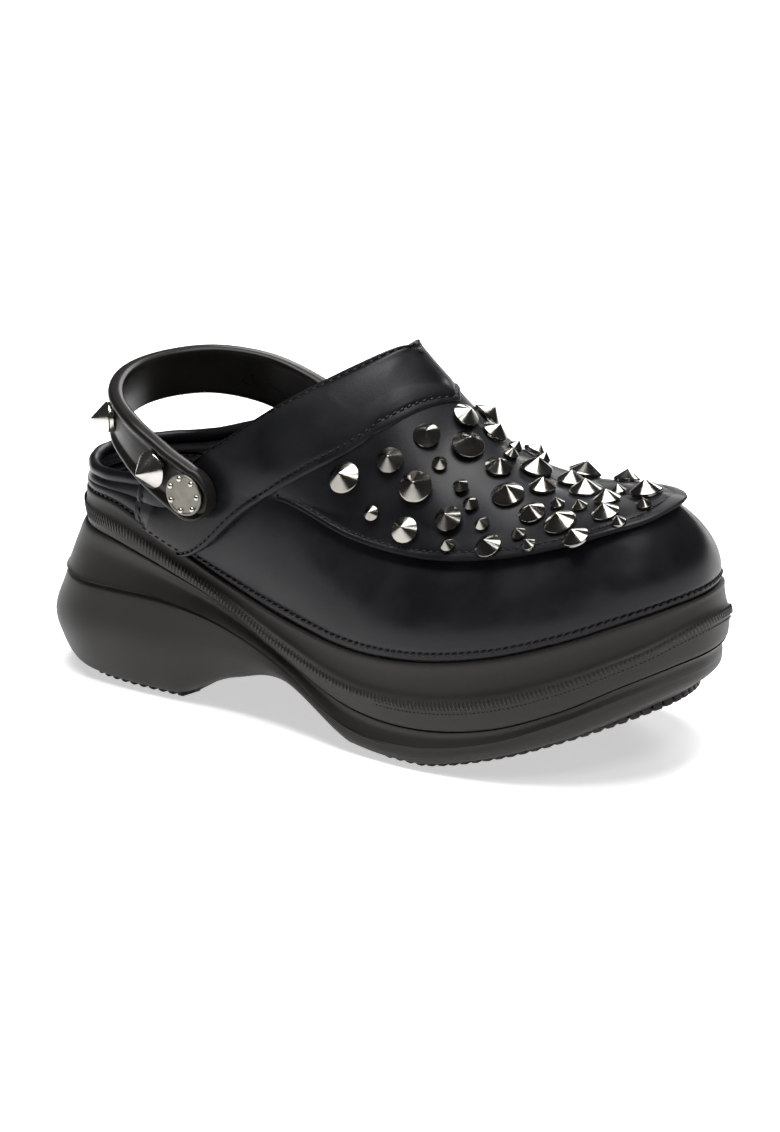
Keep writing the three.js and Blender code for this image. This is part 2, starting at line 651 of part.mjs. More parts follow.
// The upper itself: one wall, open at the collar and underneath
function upper() {
  const skin = new Skin();
  const outer = upperLevels.map((level) => stations.map((s) => lifted(s, level, 0)));
  const inner = upperLevels.map((level) => stations.map((s) => lifted(s, level, -WALL)));
  for (let i = 1; i < outer.length; i += 1) {
    skin.band(outer[i - 1], outer[i]);
    skin.band(inner[i], inner[i - 1]);
  }
  skin.band(inner[0], outer[0]);
  const collar = inOrder(openStations);
  skin.band(collar.map((s) => lifted(s, 2, 0)), collar.map((s) => lifted(s, 2, -WALL)), false);
  return solidOf(skin.geometry());
}

// A leather piece over part of the upper: places along it, a lowest and a highest level at each
function overlay(places, lowest, highest, thickness, lip) {
  const at = (s, share, lift) => {
    const level = mix(lowest(s), highest(s), share);
    const point = lifted(s, level, lift);
    return share === 0 ? point.addScaledVector(outward(s), lip) : point;
  };
  const shares = Array.from({ length: CROWN_LEVELS + 1 }, (_, i) => i / CROWN_LEVELS);
  const outer = shares.map((share) => places.map((s) => at(s, share, thickness)));
  const inner = shares.map((share) => places.map((s) => at(s, share, -UNDERLAP)));
  const skin = new Skin();
  for (let i = 1; i < outer.length; i += 1) {
    skin.band(outer[i - 1], outer[i], false);
    skin.band(inner[i], inner[i - 1], false);
  }
  skin.band(inner[0], outer[0], false);
  const top = outer.length - 1;
  const joined = places.map((s) => highest(s) === 2 && rowOf(s) >= RIDGE);
  for (let i = 1; i < places.length; i += 1) {
    if (!joined[i] || !joined[i - 1]) {
      skin.quad(outer[top][i - 1], outer[top][i], inner[top][i], inner[top][i - 1]);
    }
  }
  for (const [end, flip] of [[0, true], [places.length - 1, false]]) {
    const near = outer.map((ring) => ring[end]);
    const far = inner.map((ring) => ring[end]);
    skin.band(flip ? near : far, flip ? far : near, false);
  }
  return solidOf(skin.geometry());
}

// Front edge of the band as a level at each station
function bandFront(station) {
  const row = rowOf(station);
  const after = BAND_FRONT.findIndex((entry) => entry.station > row);
  if (after <= 0) {
    return row < BAND_FRONT[0].station ? 0 : 2;
  }
  const [from, to] = [BAND_FRONT[after - 1], BAND_FRONT[after]];
  return mix(from.level, to.level, (row - from.station) / (to.station - from.station));
}

const BAND_END = BAND_FRONT[BAND_FRONT.length - 1].station;
const bandBottom = (s) => Math.max(bandFront(s), BAND_LIFT);

// The band runs from one counter seam over the instep to the other
function band() {
  const rows = stations.filter((s) => s >= BAND_REAR && s <= BAND_END);
  return overlay([...rows, ...rows.map(mirrored).reverse()], bandBottom, () => 2, BAND, 0);
}

function apron() {
  const places = stations.filter((s) => rowOf(s) >= APRON_REAR);
  const highest = (s) => {
    const front = bandFront(s);
    return rowOf(s) < BAND_END ? front - APRON_GAP : 2;
  };
  return overlay(places, () => 1, highest, APRON, APRON_LIP);
}

// Turned pieces: a profile of radius and height, turned about a point's outward normal
const lathed = new THREE.Vector3(0, 1, 0);
function turned(profile, place, normal, sides = ROUND) {
  const points = profile.map(([radius, height]) => new THREE.Vector2(radius, height));
  const geometry = new THREE.LatheGeometry(points, sides);
  const turn = new THREE.Quaternion().setFromUnitVectors(lathed, normal);
  return geometry.applyQuaternion(turn).translate(place.x, place.y, place.z);
}

function bore(radius, place, normal, reach) {
  return solidOf(turned([[0, -reach], [radius, -reach], [radius, reach], [0, reach]], place, normal));
}

// Outermost and innermost reach of the upper's side round a pivot
const REACH_STEP = 0.25;
const REACH_LEVEL = 0.1;
function sideReach(pivot, lift, radius, pick) {
  const centre = new THREE.Vector2(pivot.along * HALF_LENGTH, HEEL_STACK + pivot.rise * RISE);
  const reaches = [];
  for (let row = BAND_REAR; row <= RIDGE; row += REACH_STEP) {
    for (let level = 0; level <= 2; level += REACH_LEVEL) {
      const point = lifted(pivot.sign < 0 ? row : mirrored(row), level, lift);
      if (Math.hypot(point.x - centre.x, point.z - centre.y) <= radius) {
        reaches.push(Math.abs(point.y));
      }
    }
  }
  return pick(...reaches);
}

const ROUND_PIVOT = 3;
const pivots = PIVOTS.map((pivot) => {
  const seat = sideReach(pivot, BAND, STRAP_WIDTH / 2 + ROUND_PIVOT, Math.max) + CLEARANCE;
  const inside = sideReach(pivot, -WALL, INNER_CAP_RADIUS + ROUND_PIVOT, Math.min) - CLEARANCE;
  return {
    name: pivot.name,
    seat,
    inside,
    normal: new THREE.Vector3(0, pivot.sign, 0),
    centre: new THREE.Vector3(
      pivot.along * HALF_LENGTH, pivot.sign * (seat + STRAP_THICK / 2), HEEL_STACK + pivot.rise * RISE),
  };
});

function strapCurve() {
  const middle = STRAP.map((row) => new THREE.Vector3(
    row.along * HALF_LENGTH, row.side * HALF_BALL, HEEL_STACK + row.rise * RISE));
  const [first, last] = pivots.map((pivot) => pivot.centre);
  const beyond = (end, next) => end.clone().add(
    end.clone().sub(next).setY(0).setLength(STRAP_WIDTH / 2));
  return new THREE.CatmullRomCurve3([
    beyond(first, middle[0]), first, ...middle, last, beyond(last, middle[middle.length - 1]),
  ], false, 'centripetal');
}

const strapLine = strapCurve();
const strapLength = strapLine.getLength();

function strapFrame(share) {
  const place = strapLine.getPointAt(share);
  const along = strapLine.getTangentAt(share);
  const normal = new THREE.Vector3(0, 0, 1).cross(along).normalize();
  const rise = along.clone().cross(normal).normalize();
  return { place, normal, rise };
}

// Section of the strap: out from its middle face, up its width, with a bead along each border.
// The strap narrows behind the heel.
function strapSection(share) {
  const half = STRAP_THICK / 2;
  const edge = mix(STRAP_WIDTH, STRAP_BACK, Math.sin(Math.PI * share) ** 2) / 2;
  return [
    [-half, -edge + half / 2], [-half / 2, -edge], [half, -edge], [half + STRAP_BEAD, -edge + STRAP_BEAD],
    [half, -edge + 3 * STRAP_BEAD], [half, edge - 3 * STRAP_BEAD], [half + STRAP_BEAD, edge - STRAP_BEAD],
    [half, edge], [-half / 2, edge], [-half, edge - half / 2],
  ];
}

// Sections that round the strap's ends off, as shares of half its width
const STRAP_ENDS = [0.03, 0.12, 0.3, 0.6, 1];
function strap() {
  const end = STRAP_WIDTH / 2 / strapLength;
  const caps = STRAP_ENDS.map((share) => share * end);
  const middle = Array.from({ length: STRAP_SECTIONS - 1 }, (_, i) => (
    mix(end, 1 - end, (i + 1) / STRAP_SECTIONS)));
  const shares = [...caps, ...middle, ...caps.map((share) => 1 - share).reverse()];
  const rings = shares.map((share) => {
    const { place, normal, rise } = strapFrame(share);
    const fromEnd = Math.min(share, 1 - share) / end;
    const width = fromEnd < 1 ? Math.sqrt(1 - (1 - fromEnd) ** 2) : 1;
    return strapSection(share).map(([out, up]) => place.clone()
      .addScaledVector(normal, out).addScaledVector(rise, up * width));
  });
  const skin = new Skin();
  for (let i = 1; i < rings.length; i += 1) {
    skin.band(rings[i - 1], rings[i]);
  }
  for (const [ring, flip] of [[rings[0], true], [rings[rings.length - 1], false]]) {
    const hub = ring.reduce((sum, point) => sum.add(point), new THREE.Vector3()).divideScalar(ring.length);
    ring.forEach((point, i) => {
      const next = ring[(i + 1) % ring.length];
      skin.triangle(hub, flip ? next : point, flip ? point : next);
    });
  }
  return solidOf(skin.geometry());
}

// Rivet that the strap turns on: inner cap, post and outer button in one
function rivet(pivot) {
  const base = pivot.inside;
  const face = pivot.seat + STRAP_THICK + BUTTON_GAP;
  return turned([
    [0, base - INNER_CAP_THICK], [INNER_CAP_RADIUS, base - INNER_CAP_THICK], [INNER_CAP_RADIUS, base],
    [PIVOT_RADIUS, base], [PIVOT_RADIUS, face], [BUTTON_RADIUS, face],
    [BUTTON_RADIUS, face + BUTTON_THICK * BUTTON_EDGE], [BUTTON_RADIUS - CLEARANCE, face + BUTTON_THICK],
    [0, face + BUTTON_THICK],
  ], pivot.centre.clone().setY(0), pivot.normal);
}

// Room for a spike in the strap: its post's hole and the pocket for the cap inside
function spikeRoom({ place, normal }) {
  const depth = -STRAP_THICK / 2 + CAP_SUNK + SPIKE_CAP_THICK + CLEARANCE;
  const pocket = turned([
    [0, -STRAP_THICK], [SPIKE_CAP_RADIUS + CLEARANCE, -STRAP_THICK],
    [SPIKE_CAP_RADIUS + CLEARANCE, depth], [0, depth],
  ], place, normal);
  return bore(SPIKE_POST + CLEARANCE, place, normal, STRAP_THICK).add(solidOf(pocket));
}

// Spike on the strap: cone on a short collar, post through the strap, cap sunk in its inner face
function spike({ place, normal }, size) {
  const face = STRAP_THICK / 2 + CLEARANCE;
  const back = -STRAP_THICK / 2 + CAP_SUNK;
  const front = back + SPIKE_CAP_THICK;
  return turned([
    [0, back], [SPIKE_CAP_RADIUS, back], [SPIKE_CAP_RADIUS, front],
    [SPIKE_POST, front], [SPIKE_POST, face], [SPIKE_NECK * size, face],
    [SPIKE_NECK * size, face + SPIKE_COLLAR], [SPIKE_RADIUS * size, face + SPIKE_COLLAR],
    [0, face + SPIKE_COLLAR + SPIKE_HEIGHT * size],
  ], place, normal);
}

// Rolled rim on the edge of the heel cup, from one counter seam round to the other
function collarRoll() {
  const places = placesFrom(0, BAND_REAR);
  const order = [...places.filter((s) => s > LAST), ...places.filter((s) => s < LAST)];
  const rings = order.map((s, i) => {
    const edge = lifted(s, 2, -WALL / 2);
    const centre = edge.setZ(edge.z + ROLL_RADIUS + CLEARANCE);
    const across = outward(s);
    return Array.from({ length: ROLL_SIDES }, (_, k) => {
      const angle = (2 * Math.PI * (k + 0.5)) / ROLL_SIDES;
      return centre.clone().addScaledVector(across, ROLL_RADIUS * Math.cos(angle))
        .setZ(centre.z + ROLL_RADIUS * Math.sin(angle));
    });
  });
  const skin = new Skin();
  for (let i = 1; i < rings.length; i += 1) {
    skin.band(rings[i], rings[i - 1]);
  }
  for (const [ring, flip] of [[rings[0], false], [rings[rings.length - 1], true]]) {
    for (let k = 1; k < ROLL_SIDES - 1; k += 1) {
      skin.triangle(ring[0], ring[flip ? k + 1 : k], ring[flip ? k : k + 1]);
    }
  }
  return skin.geometry();
}

// Studs stand square on the apron: the seat clears every spot found under the stud's rim
const down = new THREE.Vector3(0, 0, -1);
function spotUnder(mesh, x, y) {
  const caster = new THREE.Raycaster(new THREE.Vector3(x, y, 2 * INSTEP), down);
  return caster.intersectObject(mesh, false)[0];
}

function standOn(mesh, x, y, radius) {
  const angles = Array.from({ length: ROUND }, (_, i) => (2 * Math.PI * i) / ROUND);
  const centre = spotUnder(mesh, x, y);
  const spots = [
    centre,
    ...angles.map((angle) => spotUnder(mesh, x + radius * Math.cos(angle), y + radius * Math.sin(angle))),
  ].filter(Boolean);
  const normal = spots.reduce((sum, spot) => sum.add(spot.face.normal), new THREE.Vector3()).normalize();
  const rises = spots.map((spot) => spot.point.clone().sub(centre.point).dot(normal));
  return { place: centre.point.clone().addScaledVector(normal, Math.max(...rises)), normal };
}

function stud({ place, normal }, { radius, height }) {
  const base = CLEARANCE + STUD_LIFT;
  return turned([
    [0, base], [radius, base], [radius, base + STUD_RIM], [0, base + STUD_RIM + height],
  ], place, normal, STUD_SIDES);
}

const trim = hull(CLEARANCE);

const midsoleBody = midsole();
const treadTrim = solidOf(midsoleBody).translate([0, 0, -CLEARANCE]);
addMesh('midsole', midsoleBody, foam);
addMesh('insole', insole(), lining);
const heelTread = treadPlate(placesFrom(0, HEEL_TREAD_END))
  .subtract(sideGrooves(1, HEEL_TREAD_END)).subtract(treadTrim);
addMesh('heel_tread', geometryOf(heelTread), rubber);
const foreTread = treadPlate(placesFrom(LAST, LAST - FORE_TREAD_START))
  .subtract(sideGrooves(FORE_TREAD_START, LAST - 1)).subtract(treadTrim);
addMesh('fore_tread', geometryOf(foreTread), rubber);

const pivotBores = wasm.Manifold.union(pivots.map(
  (pivot) => bore(PIVOT_RADIUS + CLEARANCE, pivot.centre, pivot.normal, 4 * STRAP_THICK)));
addMesh('upper', geometryOf(upper().subtract(pivotBores)), leather);
const collarBand = band().subtract(trim).subtract(pivotBores);
addMesh('collar_band', geometryOf(collarBand), leather);
const apronBody = apron().subtract(trim);
const apronMesh = addMesh('apron', geometryOf(apronBody), leather);
addMesh('collar_roll', geometryOf(solidOf(collarRoll()).subtract(trim)), leather);
STUDS.forEach((row, i) => {
  const size = STUD_SIZES[row.size];
  const seat = standOn(apronMesh, row.along * HALF_LENGTH, row.side * HALF_BALL, size.radius);
  addMesh(`stud_${i + 1}`, stud(seat, size), gunmetal);
});

const strapSpikes = STRAP_SPIKES.map(({ share, size }) => ({ ...strapFrame(share), size }));
const strapBores = wasm.Manifold.union([
  pivotBores,
  ...strapSpikes.map(spikeRoom),
]);
addMesh('heel_strap', geometryOf(strap().subtract(strapBores)), foam);
pivots.forEach((pivot) => addMesh(`rivet_${pivot.name}`, rivet(pivot), nickel));
strapSpikes.forEach((seat, i) => addMesh(`strap_spike_${i + 1}`, spike(seat, seat.size), gunmetal));

// Origin on the floor, in the middle of the whole clog's footprint
const extent = new THREE.Box3().setFromObject(clog);
const middle = extent.getCenter(new THREE.Vector3()).setZ(extent.min.z).negate();
clog.children.forEach((mesh) => mesh.geometry.translate(middle.x, middle.y, middle.z));

export default clog;
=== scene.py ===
"""Looks of a studded clog, a right shoe standing empty on its platform sole.

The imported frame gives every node's place. The pieces here are the fine surfaces over those
solids: sole, treads, footbed, shell, collar band, apron, rolled rim, strap, metal and seams.
"""

from __future__ import annotations

import logging
import math
from dataclasses import dataclass
from enum import Enum
from typing import Callable, NamedTuple, Sequence

import bmesh
import bpy
import numpy as np
from mathutils import Matrix, Vector

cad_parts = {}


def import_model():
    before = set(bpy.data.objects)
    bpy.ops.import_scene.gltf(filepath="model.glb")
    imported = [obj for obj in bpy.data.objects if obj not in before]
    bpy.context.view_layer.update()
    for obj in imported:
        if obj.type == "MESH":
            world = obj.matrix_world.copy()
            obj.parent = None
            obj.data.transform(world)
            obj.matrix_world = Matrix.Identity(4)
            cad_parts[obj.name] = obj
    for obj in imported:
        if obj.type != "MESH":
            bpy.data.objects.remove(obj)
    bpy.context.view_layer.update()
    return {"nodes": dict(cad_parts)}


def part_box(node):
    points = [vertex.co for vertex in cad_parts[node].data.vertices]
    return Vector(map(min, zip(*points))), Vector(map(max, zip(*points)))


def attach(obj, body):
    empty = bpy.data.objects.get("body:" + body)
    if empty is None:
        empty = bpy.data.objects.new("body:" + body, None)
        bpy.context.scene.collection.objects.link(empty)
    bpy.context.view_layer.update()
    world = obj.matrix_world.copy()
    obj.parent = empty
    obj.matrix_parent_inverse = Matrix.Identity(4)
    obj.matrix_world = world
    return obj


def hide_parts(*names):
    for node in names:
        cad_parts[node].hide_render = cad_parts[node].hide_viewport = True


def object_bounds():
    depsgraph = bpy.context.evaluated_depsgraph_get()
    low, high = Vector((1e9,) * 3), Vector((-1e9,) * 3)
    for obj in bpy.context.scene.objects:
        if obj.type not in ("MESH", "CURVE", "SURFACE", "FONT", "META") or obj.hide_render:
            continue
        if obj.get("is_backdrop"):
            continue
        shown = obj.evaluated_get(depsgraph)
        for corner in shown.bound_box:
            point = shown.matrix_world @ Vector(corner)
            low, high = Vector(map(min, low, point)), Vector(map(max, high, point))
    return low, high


LOG = logging.getLogger("clog")
MM = 0.001
TAU = 2 * math.pi

Points = np.ndarray
Surface = Callable[[Points, Points], Points]
Mesh = bmesh.types.BMesh
Tree = bpy.types.NodeTree
Socket = bpy.types.NodeSocket


class SoleRow(NamedTuple):
    """Outline and heights at one station, as shares of the named sizes."""

    along: float
    lateral: float
    medial: float
    seam: float
    groove: float
    strip: float
    tread: float
    bed: float
    panel: float
    strake: float
    bulge: float
    low: float
    foot: float
    ridge: float


class EdgeRow(NamedTuple):
    """Where the wall turns into the top of the foot, and how far wall and top swell."""

    along: float
    side: float
    rise: float
    bulge: float
    crown: float


class TopRow(NamedTuple):
    """The foot opening's edge on both sides."""

    along: float
    lateral: float
    medial: float
    outer: float
    inner: float


class LineRow(NamedTuple):
    """A point of the vamp's spine or of the strap's middle line."""

    along: float
    side: float
    rise: float


class BandRow(NamedTuple):
    """A line across the collar band, from its front edge to its rear edge.

    Each edge is given by its station along the sole and its level up the upper.
    """

    front: float
    front_level: float
    rear: float
    rear_level: float


SOLE = (
    SoleRow(-1.0, 0, 0, 1.014, 0.821, 0.54, 0, 0.13, 0.38, 0.68, 1.0, 0.76, 0.28, 0.35),
    SoleRow(-0.963, 0.29, 0.29, 1.02, 0.826, 0.54, 0, 0.13, 0.38, 0.68, 1.0, 0.76, 0.28, 0.35),
    SoleRow(-0.881, 0.52, 0.52, 1.03, 0.833, 0.55, 0, 0.13, 0.28, 0.56, 0.82, 0.62, 0.2, 0.4),
    SoleRow(-0.75, 0.647, 0.64, 1.016, 0.814, 0.564, 0, 0.12, 0.13, 0.38, 0.56, 0.44, 0.06, 0.5),
    SoleRow(-0.567, 0.71, 0.7, 0.886, 0.731, 0.564, 0, 0.09, 0.06, 0.26, 0.4, 0.3, -0.06, 0.6),
    SoleRow(-0.358, 0.755, 0.715, 0.736, 0.607, 0.504, 0.13, 0.05, 0.06, 0.25, 0.3, 0.2, -0.1, 0.8),
    SoleRow(-0.142, 0.83, 0.735, 0.621, 0.42, 0.37, 0.21, 0.03, 0.08, 0.25, 0.28, 0.18, -0.06, 1.0),
    SoleRow(0.097, 0.94, 0.84, 0.563, 0.257, 0.15, 0, 0.03, 0.1, 0.22, 0.22, 0.12, -0.1, 1.0),
    SoleRow(0.328, 1.0, 0.95, 0.589, 0.229, 0.13, 0, 0.04, 0.1, 0.19, 0.19, 0.06, -0.13, 1.0),
    SoleRow(0.552, 0.955, 1.0, 0.671, 0.293, 0.22, 0.1, 0.05, 0.1, 0.16, 0.16, 0.03, -0.19, 1.0),
    SoleRow(0.739, 0.806, 0.93, 0.781, 0.42, 0.36, 0.225, 0.07, 0.06, 0.12, 0.1, 0, -0.25, 0.9),
    SoleRow(0.885, 0.565, 0.73, 0.886, 0.56, 0.49, 0.33, 0.09, 0.03, 0.06, 0.03, -0.1, -0.4, 0.8),
    SoleRow(0.97, 0.27, 0.43, 0.94, 0.63, 0.55, 0.385, 0.1, 0, 0, -0.03, -0.18, -0.5, 0.7),
    SoleRow(1.004, -0.07, 0.07, 0.957, 0.65, 0.57, 0.4, 0.1, 0, 0, -0.06, -0.22, -0.55, 0.7),
)
LATERAL = (
    EdgeRow(-1.0, 0, 0.051, 0.01, 0),
    EdgeRow(-0.964, 0.29, 0.047, 0.01, 0),
    EdgeRow(-0.881, 0.515, 0.049, 0.02, 0.01),
    EdgeRow(-0.748, 0.642, 0.077, 0.02, 0.01),
    EdgeRow(-0.567, 0.706, 0.203, 0.03, 0.02),
    EdgeRow(-0.36, 0.765, 0.462, 0.05, 0.03),
    EdgeRow(-0.157, 0.775, 0.659, 0.08, 0.11),
    EdgeRow(0.09, 0.765, 0.573, 0.11, 0.15),
    EdgeRow(0.321, 0.735, 0.514, 0.13, 0.14),
    EdgeRow(0.537, 0.675, 0.49, 0.13, 0.11),
    EdgeRow(0.7, 0.572, 0.467, 0.13, 0.08),
    EdgeRow(0.82, 0.43, 0.447, 0.12, 0.05),
    EdgeRow(0.888, 0.225, 0.436, 0.11, 0.03),
    EdgeRow(0.91, -0.06, 0.455, 0.11, 0.02),
)
MEDIAL = (
    EdgeRow(-1.0, 0, 0.051, 0.01, 0),
    EdgeRow(-0.964, 0.29, 0.047, 0.01, 0),
    EdgeRow(-0.881, 0.515, 0.049, 0.02, 0.01),
    EdgeRow(-0.748, 0.635, 0.091, 0.02, 0.01),
    EdgeRow(-0.567, 0.7, 0.259, 0.03, 0.02),
    EdgeRow(-0.36, 0.73, 0.553, 0.05, 0.03),
    EdgeRow(-0.157, 0.73, 0.76, 0.06, 0.08),
    EdgeRow(0.09, 0.72, 0.718, 0.09, 0.09),
    EdgeRow(0.321, 0.695, 0.647, 0.12, 0.07),
    EdgeRow(0.537, 0.622, 0.594, 0.13, 0.05),
    EdgeRow(0.7, 0.52, 0.547, 0.13, 0.045),
    EdgeRow(0.82, 0.357, 0.491, 0.12, 0.035),
    EdgeRow(0.884, 0.205, 0.463, 0.11, 0.03),
    EdgeRow(0.91, 0.06, 0.455, 0.11, 0.02),
)
TOPLINE = (
    TopRow(-0.993, 0, 0, 0.101, 0.101),
    TopRow(-0.957, 0.28, 0.28, 0.099, 0.099),
    TopRow(-0.877, 0.5, 0.5, 0.099, 0.099),
    TopRow(-0.746, 0.628, 0.62, 0.136, 0.15),
    TopRow(-0.563, 0.684, 0.68, 0.337, 0.407),
    TopRow(-0.347, 0.72, 0.69, 0.796, 0.83),
    TopRow(-0.142, 0.42, 0.47, 1.17, 1.14),
    TopRow(0.06, -0.1, 0.1, 1.455, 1.455),
)
SPINE = (
    LineRow(0.06, 0.1, 1.455),
    LineRow(0.3, 0.1, 0.984),
    LineRow(0.507, 0.09, 0.729),
    LineRow(0.657, 0.08, 0.584),
    LineRow(0.746, 0.07, 0.491),
    LineRow(0.81, 0.065, 0.457),
    LineRow(0.85, 0.06, 0.459),
)
STRAP = (
    LineRow(-0.532, -0.87, 0.327),
    LineRow(-0.652, -0.785, 0.433),
    LineRow(-0.771, -0.56, 0.505),
    LineRow(-0.836, -0.27, 0.543),
    LineRow(-0.858, 0.04, 0.554),
    LineRow(-0.829, 0.34, 0.558),
    LineRow(-0.755, 0.61, 0.548),
    LineRow(-0.637, 0.82, 0.491),
    LineRow(-0.517, 0.89, 0.404),
)
BAND = (
    BandRow(4.3, 0.0, 3.4, 0.0),
    BandRow(4.85, 0.46, 3.4, 0.7),
    BandRow(5.3, 0.78, 3.5, 1.5),
    BandRow(5.86, 1.01, 3.5, 2.0),
    BandRow(6.2, 1.17, 4.2, 2.0),
    BandRow(6.5, 1.3, 5.0, 2.0),
    BandRow(6.8, 1.41, 5.8, 2.0),
    BandRow(7.15, 1.58, 6.45, 2.0),
    BandRow(7.6, 2.0, 7.0, 2.0),
)


@dataclass(frozen=True)
class Sizes:
    """Driving sizes of the shoe, in millimetres."""

    length: float = 268
    ball_width: float = 98
    heel_stack: float = 70
    instep: float = 139
    wall: float = 2.2
    clearance: float = 0.3
    heel_bulge: float = 16
    rim_lobe: float = 2.2
    rim_ridge: float = 4
    rim_ledge: float = 3
    tread: float = 4.5

    @property
    def half_length(self) -> float:
        """Half of the foot's length."""
        return self.length / 2

    @property
    def half_ball(self) -> float:
        """Half of the width at the ball."""
        return self.ball_width / 2

    @property
    def rise(self) -> float:
        """How far the instep stands over the heel stack."""
        return self.instep - self.heel_stack


SIZES = Sizes()
LAST = len(SOLE) - 1
RIDGE = len(TOPLINE) - 1
ROUND = 2 * LAST


def cubic(p0: Points, p1: Points, p2: Points, p3: Points, t: Points) -> Points:
    """Smooth curve through p1 and p2.

    Args:
        p0: Points before the stretch.
        p1: Where the stretch starts.
        p2: Where it ends.
        p3: Points after it.
        t: Share of the way from p1 to p2, one for each row.

    Returns:
        The points at t.
    """
    t = t[:, None]
    start, end = (p2 - p0) / 2, (p3 - p1) / 2
    return (
        (2 * p1 - 2 * p2 + start + end) * t**3
        + (-3 * p1 + 3 * p2 - 2 * start - end) * t**2
        + start * t
        + p1
    )


def smooth_loop(points: Sequence[Sequence[float]]) -> Callable[[Points], Points]:
    """A closed smooth curve through points, as a function of the position along them.

    Args:
        points: The points, one row each.

    Returns:
        A function of the position along the points, in points.
    """
    rows = np.array(points, float)
    count = len(rows)

    def at(position: Points) -> Points:
        """Points of the curve at each position.

        Args:
            position: Positions along the curve.

        Returns:
            The points.
        """
        place = np.mod(np.asarray(position, float), count)
        i = np.minimum(place.astype(int), count - 1)
        ahead = [rows[(i + step) % count] for step in (-1, 0, 1, 2)]
        return cubic(*ahead, place - i)

    return at


def smooth_line(points: Sequence[Sequence[float]]) -> Callable[[Points], Points]:
    """An open smooth curve through points, as a function of the position along them.

    Args:
        points: The points, one row each.

    Returns:
        A function of the position along the points, in points.
    """
    rows = np.array(points, float)
    last = len(rows) - 1
    padded = np.vstack([2 * rows[0] - rows[1], rows, 2 * rows[-1] - rows[-2]])

    def at(position: Points) -> Points:
        """Points of the curve at each position.

        Args:
            position: Positions along the curve.

        Returns:
            The points.
        """
        place = np.clip(np.asarray(position, float), 0, last)
        i = np.minimum(place.astype(int), last - 1)
        return cubic(*[padded[i + step] for step in range(4)], place - i)

    return at


def unit(vectors: Points) -> Points:
    """The vectors at length one."""
    return vectors / np.maximum(np.linalg.norm(vectors, axis=1, keepdims=True), 1e-12)


def smoothstep(share: Points) -> Points:
    """Soft rise from 0 to 1."""
    share = np.clip(share, 0, 1)
    return share * share * (3 - 2 * share)


def mix(a: Points, b: Points, share: Points) -> Points:
    """From a to b by share."""
    return a + (b - a) * share


